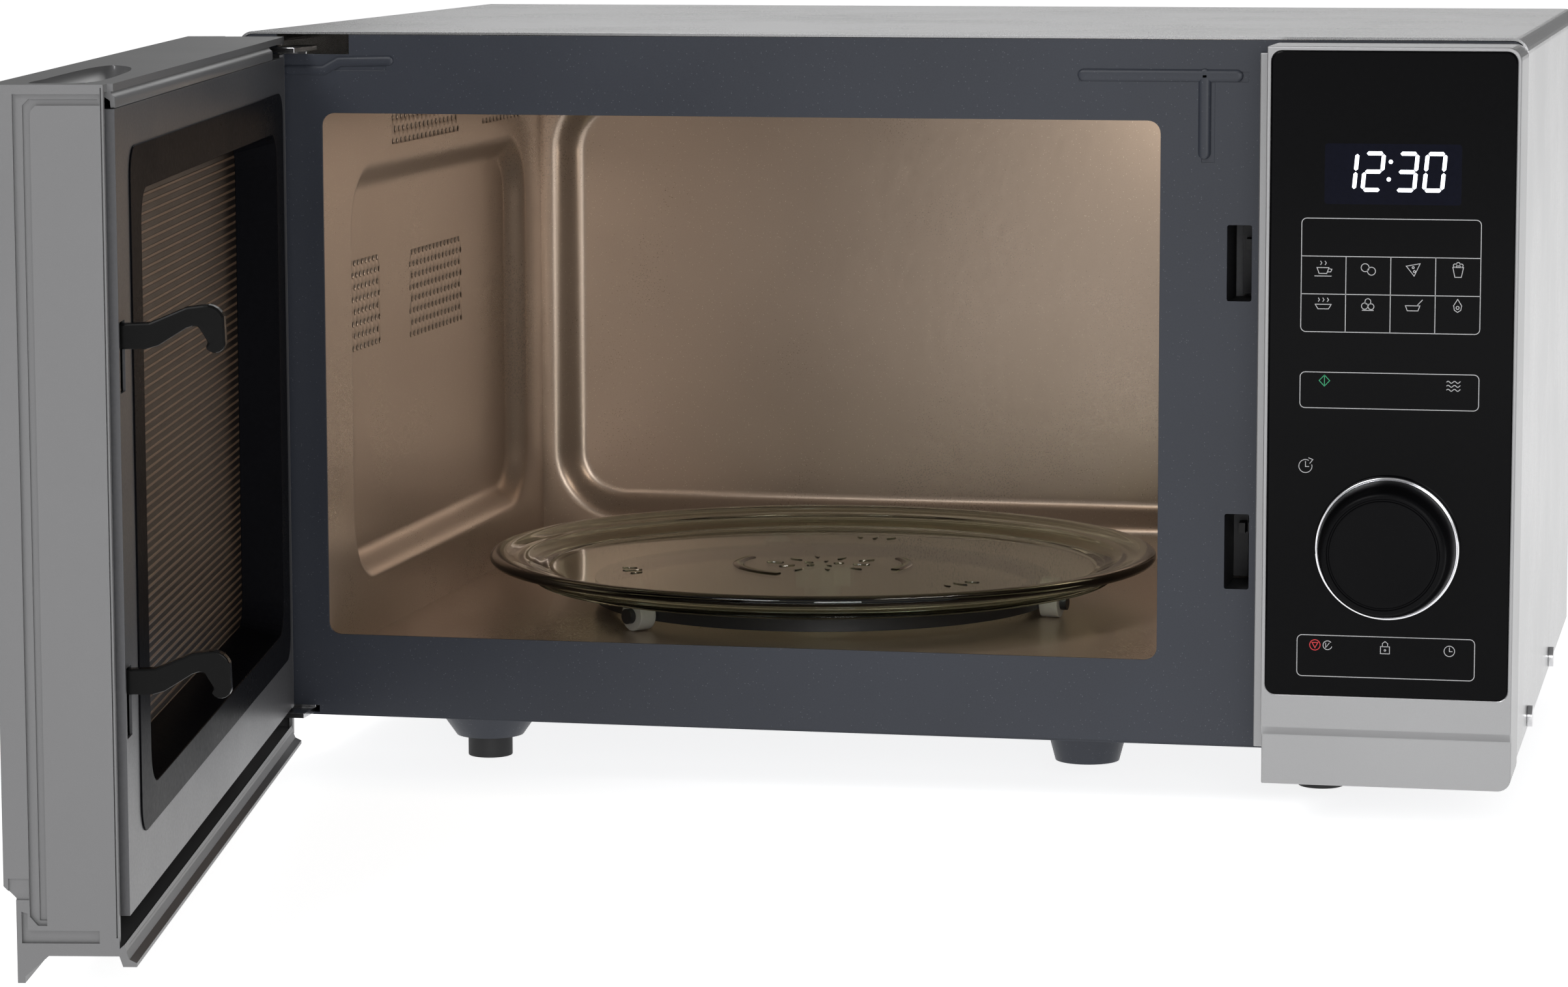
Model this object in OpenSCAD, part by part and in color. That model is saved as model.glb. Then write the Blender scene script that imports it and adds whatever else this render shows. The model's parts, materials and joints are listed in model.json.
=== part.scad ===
// Countertop microwave oven, modelled with its side-hinged door standing open.
// Working frame: X to the right with 0 at the middle of the cabinet, Y to the back with 0 at the
// face of the front plate, Z up with 0 under the feet. The last lines move it to the stored origin,
// the middle of the bottom of the box round the whole oven.

/* [Cabinet] */
// Width of the sheet metal cabinet
cab_w = 513; // [490:1:620]
// Height of the cabinet's top above the table
cab_h = 304; // [300:1:370]
// Depth of the cabinet behind the front plate's face
cab_d = 360; // [350:1:440]
// Height of the underside above the table
skirt_z = 27; // [24:1:34]
// Thickness of the sheet metal
sheet = 1; // [0.8:0.1:1.2]
// Radius of the cabinet's top edges
cab_corner_r = 6; // [4:1:10]
// How far the spacers stand out behind the cabinet
spacer_out = 12; // [8:1:20]

/* [Cavity] */
// Width of the cavity and of its opening
cav_w = 338; // [320:1:342]
// Height of the opening in the front plate
cav_open_h = 211; // [190:1:212]
// Height of the opening's bottom edge above the table
cav_open_z = 60.5; // [58:0.5:66]
// Depth of the cavity
cav_d = 340; // [320:1:345]
// Middle of the cavity, left of the cabinet's middle
cav_x = -53; // [-60:1:-50]
// How far the floor lies under the opening's bottom edge
floor_drop = 9.5; // [7:0.5:10]
// How far the ceiling lies over the opening's top edge
ceiling_rise = 3; // [2:0.5:6]
// Radius of the opening's corners
cav_corner_r = 5; // [3:1:8]
// Depth of the pressed panel in the back wall
back_press = 9; // [5:1:11]
// Depth of the pressed panel in the left wall
side_press = 8; // [5:1:11]

/* [Door] */
// Thickness of the door
door_t = 40; // [36:1:46]
// Gap between the door's inner face and the front plate
door_face_gap = 1; // [0.8:0.1:1.5]
// Gap between the door's free edge and the control panel
door_side_gap = 1.5; // [1:0.25:3]
// Angle at which the door stands open, in degrees
door_open = 80; // [60:1:95]
// Hinge axis, inwards from the cabinet's left side
hinge_inset = 12; // [11:0.5:14]
// Hinge axis, in front of the front plate
hinge_fwd = 11; // [10:0.5:13]
// Radius of the hinge pins
hinge_pin_r = 2.5; // [2:0.25:3]
// Wall of the door's plastic cover
door_wall = 2.5; // [2:0.25:3]
// Depth of the window's recess in the door's inner face
window_recess = 15; // [12:1:16]
// Reach of the hooks past the door's inner face
hook_reach = 34; // [30:1:36]
// Thickness of the hooks
hook_t = 5; // [4:0.5:6]
// How far the chin wall hangs below the door's bottom edge
chin_drop = 9; // [4:1:10]
// Travel of the latch lever
latch_travel = 7; // [5:0.5:8]

/* [Control panel] */
// Width of the control panel
panel_w = 95; // [90:1:98]
// Height of the step between the panel's face and its chin, above the table
chin_z = 43; // [38:1:48]
// How far the chin is set back
chin_back = 4; // [2:0.5:5]
// Gap between the panel's top and the cabinet's top
panel_top_drop = 2; // [1:0.5:4]
// Height of the panel's and door's bottom edge above the table
panel_z = 20; // [16:1:22]
// Radius of the jog dial's base
knob_r = 27.5; // [24:0.5:32]
// Radius of the jog dial's front face
knob_face_r = 22; // [18:0.5:23]
// How far the jog dial stands out
knob_out = 20; // [15:1:25]
// Height of the jog dial's axis above the table
knob_z = 113; // [105:1:120]

/* [Turntable] */
// Gap between the glass tray's rim and the cavity's side walls
tray_gap = 25; // [18:1:32]
// Thickness of the glass
glass_t = 5; // [4:0.5:6]
// Height of the tray's rim above its underside
tray_rim_h = 12; // [9:0.5:14]
// Radius of the rollers
roller_r = 6.5; // [6:0.25:7.5]
// Width of the rollers
roller_w = 8; // [6:0.5:10]
// How far the rollers' middles lie inside the tray's rim
roller_in = 41; // [38:1:50]
// Direction of the first roller, in degrees from the right
roller_angle = -7; // [-30:1:30]

/* [Clearances] */
// Radial clearance of a shaft or pin that turns in a bore
run_fit = 0.05; // [0.02:0.01:0.09]
// Clearance between moving pieces
gap = 0.3; // [0.25:0.05:0.5]
// Clearance round a fixed piece in its seat
seat = 0.2; // [0.1:0.05:0.3]

/* [Hidden] */
$fn = 48;

half_w = cab_w / 2;
cab_in = half_w - sheet - seat;                 // inner face of the cabinet's sides, less a seat
cab_top_in = cab_h - sheet - seat;
base_top = skirt_z + sheet;

// Cavity
cav_x0 = cav_x - cav_w / 2;
cav_x1 = cav_x + cav_w / 2;
cav_open_top = cav_open_z + cav_open_h;
floor_z = cav_open_z - floor_drop;
ceiling_z = cav_open_top + ceiling_rise;
cav_back = sheet + cav_d;

// Control panel and door
panel_x0 = half_w - panel_w;
panel_x = half_w - panel_w / 2;
panel_top = cab_h - panel_top_drop;
panel_face = -door_t;
flange_w = 7;                                    // rim behind the panel that the door closes beside
flange_t = 2;
door_x0 = -half_w;
door_x1 = panel_x0 - door_side_gap;
door_in = -door_face_gap;
door_out = door_in - door_t;
chin_slope = 4;
hinge_x = -half_w + hinge_inset;
hinge_y = -hinge_fwd;
hinge_clear_r = hinge_fwd - gap;                 // what turns inside this circle clears the front plate
arm_t = 2;
top_arm_z = panel_top - 6;
low_arm_z = base_top;
frame_z0 = low_arm_z + arm_t + 2;
frame_z1 = top_arm_z - 2;
frame_x0 = hinge_x + gap;
frame_x1 = panel_x0 - flange_w - 1;
frame_return = 16;

// Latch: the two hooks pass through slots in the front plate
slot_x = frame_x1 - 6.5;
slot_w = 9.6;
slot_h = 29.5;
hook_rise = 15.5;                                // height of a hook's head
hook_zs = [cav_open_z + 155, cav_open_z + 42.5]; // underside of each hook's head
slot_above = 0.5;                                // slot's top edge over the hook's head
lever_z0 = hook_zs[1] - 12;
lever_z1 = hook_zs[0] + 24;
lever_y0 = door_in - sheet - gap - 9;
lever_y1 = door_in - sheet - gap;
lever_w = 8;
latch_depth = hook_reach + 5;

// Compartment to the right of the cavity
comp_x = cav_x1 + sheet;

// Turntable
tray_x = cav_x;
tray_y = sheet + cav_d / 2 + 3;
roller_z = floor_z + roller_r;
tray_z = floor_z + 2 * roller_r + gap;
shaft_r = 3;
tray_r = cav_w / 2 - tray_gap;
roller_at = tray_r - roller_in;

// Parts in the compartment
guide_d = 30;                                    // how far the waveguide stands out of the cavity wall
guide_y = [108, 248];
guide_z = [172, 250];
mag_y = 140;
mag_z = 211;
mag_x = comp_x + guide_d;
mag_len = 54;
antenna_r = 8;
anode_r = 19;
core_x = cab_in - 49.3;
core_y = [36, 96];
core_w = 88;
core_h = 74;
core_leg = 26;
core_yoke = 13;
fan_x = (comp_x + cab_in) / 2;
fan_z = 175;
fan_r = 50;
fan_y = cab_d - sheet - 42;                      // front face of the fan's duct
inlet_x = cab_in - 40.3;
inlet_z = 62;
inlet_r = 3.7;
screw_r = 2;
screw_head_r = 4.25;
screw_head_h = 2.2;
side_screw_y = [65, 214];
side_screw_z = skirt_z + 5;
foot_x = 174;
foot_y = [70, 296];
foot_r = 9.25;
dome_bottom_z = 9;

// Box round the whole oven with the door open, for the stored origin
box_x1 = half_w + screw_head_h;
box_x0 = hinge_x - (door_t + door_face_gap - hinge_fwd) * sin(door_open) - 2 * cos(door_open);
box_y1 = cab_d + spacer_out;
box_y0 = hinge_y - (door_x1 - hinge_x) * sin(door_open)
    - (door_t + door_face_gap - hinge_fwd) * cos(door_open);
origin = [(box_x0 + box_x1) / 2, (box_y0 + box_y1) / 2, 0];

// ---------- shared shapes ----------

// A box from its lowest to its highest corner
module block(lo, hi) { translate(lo) cube(hi - lo); }

// Points of a rectangle with its lower left corner at a, its upper right at b, and corners of radius r
function arc(c, r, from, to, steps) =
    [for (i = [0 : steps]) c + r * [cos(from + (to - from) * i / steps), sin(from + (to - from) * i / steps)]];
function round_rect(a, b, r, n = 6) = concat(
    arc([b.x - r, a.y + r], r, -90, 0, n), arc([b.x - r, b.y - r], r, 0, 90, n),
    arc([a.x + r, b.y - r], r, 90, 180, n), arc([a.x + r, a.y + r], r, 180, 270, n));

// Extrudes an XZ outline along Y, from y0 to y1
module along_y(y0, y1) { translate([0, y1, 0]) rotate([90, 0, 0]) linear_extrude(y1 - y0) children(); }
// Extrudes a YZ outline along X, from x0 to x1
module along_x(x0, x1) {
    translate([x0, 0, 0]) rotate([90, 0, 90]) linear_extrude(x1 - x0) children();
}
module plate_y(a, b, r, y0, y1) { along_y(y0, y1) polygon(round_rect(a, b, r)); }
module rod_x(x0, x1, y, z, r) { translate([x0, y, z]) rotate([0, 90, 0]) cylinder(h = x1 - x0, r = r); }
module rod_y(y0, y1, x, z, r) { translate([x, y1, z]) rotate([90, 0, 0]) cylinder(h = y1 - y0, r = r); }
module rod_z(z0, z1, x, y, r) { translate([x, y, z0]) cylinder(h = z1 - z0, r = r); }

// Turns what is drawn for the closed door to where the door stands open
module on_door() {
    translate([hinge_x, hinge_y, 0]) rotate([0, 0, -door_open]) translate([-hinge_x, -hinge_y, 0])
        children();
}
module at_hinge() { translate([hinge_x, hinge_y, 0]) children(); }
module at_tray() { translate([tray_x, tray_y, 0]) children(); }
module at_roller(i) { at_tray() rotate([0, 0, roller_angle - 120 * i]) children(); }

// ---------- cabinet ----------

function arch(side, top, bottom, r) = concat([[side, bottom]], arc([side - r, top - r], r, 0, 90, 8),
    arc([-side + r, top - r], r, 90, 180, 8), [[-side, bottom]]);

module outer_cabinet() {
    louvre = [3, 22];
    color("silver") difference() {
        along_y(0, cab_d) polygon(arch(half_w, cab_h, skirt_z, cab_corner_r));
        along_y(-1, cab_d + 1)
            polygon(arch(half_w - sheet, cab_h - sheet, skirt_z - 1, cab_corner_r - sheet));
        for (row = [0, 1], i = [0 : 13])
            block([-half_w - 1, cab_d - 130 + i * 7, 90 + row * 30],
                [-half_w + 2, cab_d - 130 + i * 7 + louvre[0], 90 + row * 30 + louvre[1]]);
        for (y = side_screw_y) rod_x(-half_w - 1, half_w + 1, y, side_screw_z, screw_r + seat);
    }
}

module case_screw(axis_len) {
    color("lightgray") {
        cylinder(h = screw_head_h, r = screw_head_r);
        translate([0, 0, -axis_len]) cylinder(h = axis_len + 1, r = screw_r);
    }
}
rear_screw_at = [[-240, 40], [-240, 290], [0, 291], [240, 290], [240, 40], [0, 36]];
module case_screws() {
    for (y = side_screw_y, s = [-1, 1])
        translate([s * half_w, y, side_screw_z]) rotate([0, s * 90, 0]) case_screw(5);
    for (p = rear_screw_at)
        translate([p.x * (cab_in - 10) / 240, cab_d, p.y]) rotate([-90, 0, 0]) case_screw(3);
}

module base_plate() {
    edge = cab_in;
    color("dimgray") difference() {
        union() {
            block([-edge, sheet, skirt_z], [edge, cab_d - sheet, base_top]);
            for (s = [-1, 1]) block([s * edge - (s > 0 ? sheet : 0), sheet, skirt_z],
                [s * edge + (s > 0 ? 0 : sheet), cab_d - sheet, skirt_z + 12]);
            for (x = [-foot_x, foot_x], y = foot_y) foot_dome(x, y, 27, 14);
            foot_dome(80, 60, 18, 13);
        }
        for (x = [-foot_x, foot_x], y = foot_y) {
            dome_hollow(x, y, 27, 14);
            rod_z(0, base_top, x, y, 3);
        }
        dome_hollow(80, 60, 18, 13);
        for (y = side_screw_y) rod_x(-half_w, half_w, y, side_screw_z, screw_r + seat);
        for (i = [0 : 7]) block([150 + i * 9, 250, skirt_z - 1], [154 + i * 9, 290, base_top + 1]);
        for (i = [0 : 7]) block([-110 + i * 9, 300, skirt_z - 1], [-106 + i * 9, 330, base_top + 1]);
    }
}
module foot_dome(x, y, r1, r2) {
    translate([x, y, dome_bottom_z]) cylinder(h = skirt_z + 0.5 - dome_bottom_z, r1 = r2, r2 = r1);
}
module dome_hollow(x, y, r1, r2) {
    translate([x, y, dome_bottom_z + sheet])
        cylinder(h = skirt_z + sheet - dome_bottom_z, r1 = r2 - sheet, r2 = r1 - sheet);
}

module rubber_feet() {
    color("black") for (x = [-foot_x, foot_x], y = foot_y) translate([x, y, 0]) {
        cylinder(h = dome_bottom_z, r = foot_r);
        cylinder(h = dome_bottom_z + sheet, r = 3 - seat);
        translate([0, 0, dome_bottom_z + sheet]) cylinder(h = 3, r = 5);
    }
}

// ---------- front plate and cavity ----------

module front_plate() {
    bead = 0.4;
    color([0.16, 0.17, 0.2]) difference() {
        along_y(0, sheet) polygon(arch(cab_in, cab_top_in, base_top, cab_corner_r - sheet));
        plate_y([cav_x0, cav_open_z], [cav_x1, cav_open_top], cav_corner_r, -1, 2);
        for (z = hook_zs) plate_y([slot_x - slot_w / 2, z + hook_rise + slot_above - slot_h],
            [slot_x + slot_w / 2, z + hook_rise + slot_above], 0.8, -1, 2);
        block([hinge_x + 4, -1, top_arm_z - 1], [hinge_x + 34, 2, cab_top_in + 1]);
        block([hinge_x + 4, -1, low_arm_z - 1], [hinge_x + 18, 2, low_arm_z + arm_t + 1]);
        block([cav_x1 - 32, -1, cav_open_top + 15], [cav_x1 + 34, bead, cav_open_top + 19]);
        block([cav_x1 + 16, -1, cav_open_top - 16], [cav_x1 + 21, bead, cav_open_top + 19]);
        block([cav_x0 + 2, -1, cav_open_top + 17], [cav_x0 + 27, bead, cav_open_top + 20]);
        for (z = [60, 260], x = [panel_x0 + 8, half_w - 12]) rod_y(-1, 2, x, z, screw_r + seat);
    }
}

// A flat wall with a pressed panel, drawn lying in XY with the panel sunk towards +Z
module pressed_wall(a, b, pa, pb, depth, slope, r) {
    difference() {
        union() {
            linear_extrude(sheet) polygon([a, [b.x, a.y], b, [a.x, b.y]]);
            press(pa, pb, depth, slope, r, sheet);
        }
        translate([0, 0, -sheet]) press(pa, pb, depth, slope, r, sheet);
    }
}
module press(pa, pb, depth, slope, r, t) {
    s = [slope, slope];
    hull() {
        linear_extrude(t) polygon(round_rect(pa, pb, r, 8));
        translate([0, 0, depth]) linear_extrude(t) polygon(round_rect(pa + s, pb - s, r - slope / 2, 8));
    }
}

module cavity_left_wall() {
    color([0.45, 0.38, 0.32]) translate([cav_x0, 0, 0]) rotate([0, -90, 0]) pressed_wall([floor_z, sheet],
        [ceiling_z, cav_back], [floor_z + 22, 36], [ceiling_z - 26, cav_back - 26], side_press, 14, 30);
}
module cavity_right_wall() {
    color([0.45, 0.38, 0.32]) difference() {
        block([cav_x1, sheet, floor_z], [cav_x1 + sheet, cav_back, ceiling_z]);
        block([cav_x1 - 1, guide_y[1] - 62, guide_z[0] + 8],
            [cav_x1 + 2, guide_y[1] - 12, guide_z[1] - 10]);
        for (i = [0 : 3], k = [0 : 3]) rod_x(cav_x1 - 1, cav_x1 + 2, 283 + i * 6, 222 + k * 6, 1.5);
    }
}
module cavity_ceiling() {
    color([0.45, 0.38, 0.32])
        block([cav_x0 - sheet, sheet, ceiling_z], [cav_x1 + sheet, cav_back, ceiling_z + sheet]);
}
module cavity_floor() {
    color([0.45, 0.38, 0.32]) difference() {
        block([cav_x0 - sheet, sheet, floor_z - sheet], [cav_x1 + sheet, cav_back, floor_z]);
        rod_z(floor_z - 2, floor_z + 1, tray_x, tray_y, 9);
    }
}
module cavity_back_wall() {
    color([0.45, 0.38, 0.32]) translate([0, cav_back, 0]) rotate([90, 0, 180]) mirror([1, 0, 0])
        pressed_wall([cav_x0 - sheet, floor_z - sheet], [cav_x1 + sheet, ceiling_z + sheet],
            [cav_x0 + 4, floor_z + 10], [cav_x1 - 4, ceiling_z - 4], back_press, 16, 34);
}

// ---------- rear ----------

module rear_panel() {
    color("gray") difference() {
        along_y(cab_d - sheet, cab_d) polygon(arch(cab_in, cab_top_in, skirt_z, cab_corner_r - sheet));
        for (i = [0 : 9], k = [0 : 3]) block([fan_x - 38 + i * 8, cab_d - 3, fan_z - 38 + k * 20],
            [fan_x - 34 + i * 8, cab_d + 1, fan_z - 22 + k * 20]);
        for (i = [0 : 11]) block([-200 + i * 9, cab_d - 3, 60], [-196 + i * 9, cab_d + 1, 84]);
        rod_y(cab_d - 3, cab_d + 1, inlet_x, inlet_z, inlet_r + 3);
        for (p = rear_screw_at) rod_y(cab_d - 3, cab_d + 1, p.x * (cab_in - 10) / 240, p.y, screw_r + seat);
    }
}
module rear_spacers() {
    color("dimgray") for (x = [-half_w + 76.5, half_w - 136.5]) difference() {
        plate_y([x - 16, 225], [x + 16, 257], 6, cab_d, cab_d + spacer_out);
        plate_y([x - 14, 227], [x + 14, 255], 5, cab_d - 1, cab_d + spacer_out - 2);
    }
}
module cord_inlet() {
    color("black") difference() {
        union() {
            rod_y(cab_d, cab_d + 4, inlet_x, inlet_z, inlet_r + 6);
            rod_y(cab_d - 6, cab_d + 1, inlet_x, inlet_z, inlet_r + 3 - seat);
        }
        rod_y(cab_d - 7, cab_d + 5, inlet_x, inlet_z, inlet_r);
    }
}

// ---------- microwave generator ----------

module waveguide() {
    lo = [comp_x, guide_y[0], guide_z[0]];
    hi = [comp_x + guide_d, guide_y[1], guide_z[1]];
    color("lightsteelblue") difference() {
        union() {
            block(lo, hi);
            block(lo - [0, 8, 0], [comp_x + sheet, hi.y + 8, hi.z]);
        }
        block(lo + [-1, sheet, sheet], hi - [sheet, sheet, sheet]);
        rod_x(mag_x - 3, mag_x + 1, mag_y, mag_z, antenna_r + 2);
    }
}
module waveguide_cover() {
    color("tan") block([cav_x1 - 0.8, guide_y[1] - 67, guide_z[0] + 3],
        [cav_x1, guide_y[1] - 7, guide_z[1] - 5]);
}
module magnetron_yoke() {
    color("silver") difference() {
        block([mag_x, mag_y - 32, mag_z - 38], [mag_x + mag_len, mag_y + 32, mag_z + 38]);
        block([mag_x + 1.5, mag_y - 33, mag_z - 36.5], [mag_x + mag_len - 1.5, mag_y + 33, mag_z + 36.5]);
        rod_x(mag_x - 1, mag_x + mag_len + 1, mag_y, mag_z, anode_r + 1);
    }
}
module magnetron_fins() {
    color("lightgray") for (i = [0 : 5]) {
        x = mag_x + 8 + i * 7;
        difference() {
            block([x, mag_y - 30, mag_z - 36.5], [x + 0.8, mag_y + 30, mag_z + 36.5]);
            rod_x(x - 1, x + 2, mag_y, mag_z, anode_r + 0.1);
        }
    }
}
module magnetron_anode() {
    color("indianred") {
        rod_x(mag_x + 2, mag_x + mag_len - 2, mag_y, mag_z, anode_r);
        rod_x(mag_x - 18, mag_x + 3, mag_y, mag_z, antenna_r);
        rod_x(mag_x + mag_len - 3, mag_x + mag_len + 8, mag_y, mag_z, antenna_r);
    }
}
module magnetron_filter() {
    lo = [mag_x + mag_len, mag_y - 28, mag_z - 28];
    hi = [mag_x + mag_len + 34, mag_y + 28, mag_z + 28];
    color("gainsboro") difference() {
        block(lo, hi);
        block(lo + [sheet, sheet, sheet], hi - [sheet, sheet, sheet]);
        rod_x(lo.x - 1, lo.x + 3, mag_y, mag_z, antenna_r + 2);
    }
}

core_x0 = core_x - core_w / 2;
window_w = (core_w - core_leg) / 2 - core_yoke;
module transformer_core() {
    color("slategray") difference() {
        block([core_x0, core_y[0], base_top], [core_x0 + core_w, core_y[1], base_top + core_h]);
        for (x = [core_x0 + core_yoke, core_x + core_leg / 2])
            block([x, core_y[0] - 1, base_top + core_yoke],
                [x + window_w, core_y[1] + 1, base_top + core_h - core_yoke]);
    }
}
module winding(z0, z1, out) {
    y = (core_y[0] + core_y[1]) / 2;
    half = (core_y[1] - core_y[0]) / 2;
    color("peru") difference() {
        translate([0, 0, z0]) linear_extrude(z1 - z0) polygon(round_rect(
            [core_x - core_leg / 2 - out, y - half - out], [core_x + core_leg / 2 + out, y + half + out], 6));
        block([core_x - core_leg / 2 - seat, y - half - seat, z0 - 1],
            [core_x + core_leg / 2 + seat, y + half + seat, z1 + 1]);
    }
}
winding_z = base_top + core_yoke;
winding_h = core_h - 2 * core_yoke;
module primary_winding() { winding(winding_z, winding_z + winding_h * 0.45, window_w - seat); }
module secondary_winding() {
    winding(winding_z + winding_h * 0.45, winding_z + winding_h, window_w - seat);
}

cap_x = [cab_in - 49.3, cab_in - 14.3];
cap_y = [140, 232];
cap_h = 54;
cap_lift = 2;
module capacitor() {
    z0 = base_top + cap_lift;
    color("lightgray") along_y(cap_y[0], cap_y[1])
        polygon(round_rect([cap_x[0], z0], [cap_x[1], z0 + cap_h], 17));
    color("dimgray") for (z = [z0 + 18, z0 + 36]) block([cap_x[0] + 14, cap_y[1] - 1, z],
        [cap_x[0] + 21, cap_y[1] + 8, z + 0.8]);
}
module capacitor_clamp() {
    z0 = base_top + cap_lift;
    y0 = 178;
    color("silver") difference() {
        union() {
            along_y(y0, y0 + 14) polygon(round_rect([cap_x[0] - 1.2, z0 - 2], [cap_x[1] + 1.2, z0 + cap_h + 1.2], 18));
            block([cap_x[0] - 22, y0, base_top], [cap_x[1] - 8, y0 + 14, base_top + 1.5]);
        }
        along_y(y0 - 1, y0 + 15) polygon(round_rect([cap_x[0] - 0.1, z0 - 0.1], [cap_x[1] + 0.1, z0 + cap_h + 0.1], 17.1));
        rod_z(base_top - 1, base_top + 3, cap_x[0] - 15, y0 + 7, 2);
    }
}
module diode() {
    color([0.15, 0.15, 0.17]) {
        rod_y(150, 168, 186, base_top + 4, 4);
        rod_y(168, 174, 186, base_top + 4, 1);
        block([182, 173, base_top], [190, 174, base_top + 8]);
    }
}

// ---------- fan, lamp and boards ----------

module fan_shroud() {
    lo = [fan_x - 62, fan_y, fan_z - 62];
    hi = [fan_x + 62, cab_d - sheet, fan_z + 62];
    color([0.85, 0.85, 0.82]) difference() {
        block(lo, hi);
        difference() {
            block(lo + [2, 2, 2], hi + [-2, 1, -2]);
            block([lo.x, hi.y - 16, fan_z - 9], [hi.x, hi.y - 13, fan_z + 9]);
        }
        rod_y(fan_y - 1, fan_y + 3, fan_x, fan_z, fan_r + 3);
        rod_y(hi.y - 17, hi.y - 12, fan_x, fan_z, 5);
    }
}
fan_plate_y = cab_d - sheet - 16;                // front of the bridge that carries the motor
module fan_motor() {
    color("slategray") difference() {
        union() {
            block([fan_x - 22, fan_plate_y - 12, fan_z - 18], [fan_x + 22, fan_plate_y, fan_z + 18]);
            rod_y(fan_plate_y - 15, fan_plate_y + 3, fan_x, fan_z, 5 - seat);
        }
        rod_y(fan_plate_y - 16, fan_plate_y + 2, fan_x, fan_z, 1.6 + run_fit);
    }
}
module fan_blade() {
    y1 = fan_plate_y - 15 - gap;
    color("ivory") {
        rod_y(y1 - 13, y1, fan_x, fan_z, 9);
        for (i = [0 : 4]) translate([fan_x, y1 - 6.5, fan_z]) rotate([0, 72 * i, 0])
            translate([0, 0, 6]) rotate([0, 0, 28]) block([-13, -0.8, 0], [13, 0.8, fan_r - 8]);
    }
    color("silver") rod_y(y1 - 13, fan_plate_y, fan_x, fan_z, 1.6);
}

lamp_y = 292;
lamp_z = 231;
module lamp_holder() {
    color("white") difference() {
        block([comp_x, lamp_y - 16, lamp_z - 16], [comp_x + 30, lamp_y + 16, lamp_z + 16]);
        block([comp_x - 1, lamp_y - 14, lamp_z - 14], [comp_x + 28, lamp_y + 14, lamp_z + 14]);
        rod_x(comp_x + 27, comp_x + 31, lamp_y, lamp_z, 5 + seat);
    }
}
module lamp_bulb() {
    color("lightyellow") rotate_lamp() {
        translate([0, 0, 4]) cylinder(h = 10, r = 5);
        translate([0, 0, -3]) sphere(r = 8);
        translate([0, 0, 12]) cylinder(h = 7, r = 6.5);
    }
}
module rotate_lamp() { translate([comp_x + 16 + 2, lamp_y, lamp_z]) rotate([0, 90, 0]) children(); }

module thermal_cutouts() {
    color("black") for (p = [[cav_x1 - 20, 200], [cav_x + 20, 300]]) {
        translate([p.x, p.y, ceiling_z + sheet]) cylinder(h = 8, r = 8);
        block([p.x - 14, p.y - 4, ceiling_z + sheet], [p.x + 14, p.y + 4, ceiling_z + sheet + 1.2]);
    }
}
module filter_board() {
    z = guide_z[1] + 12;
    x0 = comp_x + 4;
    color("darkgreen") {
        block([x0, 120, z], [x0 + 60, 235, z + 1.6]);
        for (x = [x0 + 6, x0 + 20], y = [128, 226]) rod_z(guide_z[1], z, x, y, 3);
    }
    color("black") {
        rod_z(z + 1.6, z + 16, x0 + 26, 155, 11);
        block([x0 + 14, 185, z + 1.6], [x0 + 40, 200, z + 15]);
        block([x0 + 46, 185, z + 1.6], [x0 + 56, 210, z + 11]);
    }
}

// ---------- latch board and switches ----------

channel_w = slot_w + 2;
board_x = [slot_x - 14, slot_x + 14];
module latch_board() {
    color("white") difference() {
        block([board_x[0], sheet, hook_zs[1] - 24], [board_x[1], sheet + latch_depth, hook_zs[0] + 26]);
        for (z = hook_zs) block([slot_x - channel_w / 2, sheet - 1, z + hook_rise + 1 - slot_h - 2],
            [slot_x + channel_w / 2, sheet + latch_depth + 1, z + hook_rise + 2]);
        block([board_x[0] + 2, sheet + 2, hook_zs[1] + 24],
            [board_x[1] + 1, sheet + latch_depth + 1, hook_zs[0] - 20]);
    }
}
switch_w = 6.4;
tip_y = door_in + hook_reach + gap;              // where a hook's tip meets a plunger
switch_y = sheet + latch_depth;
module switch(x, z, px) {
    color("dimgray") difference() {
        union() {
            block([x - switch_w / 2, switch_y, z - 14], [x + switch_w / 2, switch_y + 16, z + 26]);
            for (k = [0, 1]) block([x - 1.5, switch_y + 16, z - 8 + k * 20], [x + 1.5, switch_y + 22, z - 7 + k * 20]);
        }
        block([px - 1.3 - gap, switch_y - 1, z + 4 - gap], [px + 1.3 + gap, switch_y + 5, z + 8 + gap]);
    }
}
module plunger(x, z) {
    color("firebrick") block([x - 1.3, tip_y, z + 4], [x + 1.3, switch_y + 3.5, z + 8]);
}
pair_x = [slot_x - switch_w / 2 - 0.1, slot_x + switch_w / 2 + 0.1];
pair_px = [slot_x - 1.9, slot_x + 1.9];
module upper_switch() { switch(slot_x, hook_zs[0], slot_x); }
module lower_switch() { switch(pair_x[0], hook_zs[1], pair_px[0]); }
module monitor_switch() { switch(pair_x[1], hook_zs[1], pair_px[1]); }
module upper_plunger() { plunger(slot_x, hook_zs[0]); }
module lower_plunger() { plunger(pair_px[0], hook_zs[1]); }
module monitor_plunger() { plunger(pair_px[1], hook_zs[1]); }

// ---------- control panel ----------

wall = 2.5;
win_t = 2;
win_z0 = chin_z + 12.5;
win_r = 5;
// Side outline of the panel or the door: the face, the sloping step and the chin set back under it
function face_outline(front, back, bottom, top) = [[front + chin_back, bottom],
    [front + chin_back, chin_z - chin_slope], [front, chin_z], [front, top], [back, top], [back, bottom]];

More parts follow.
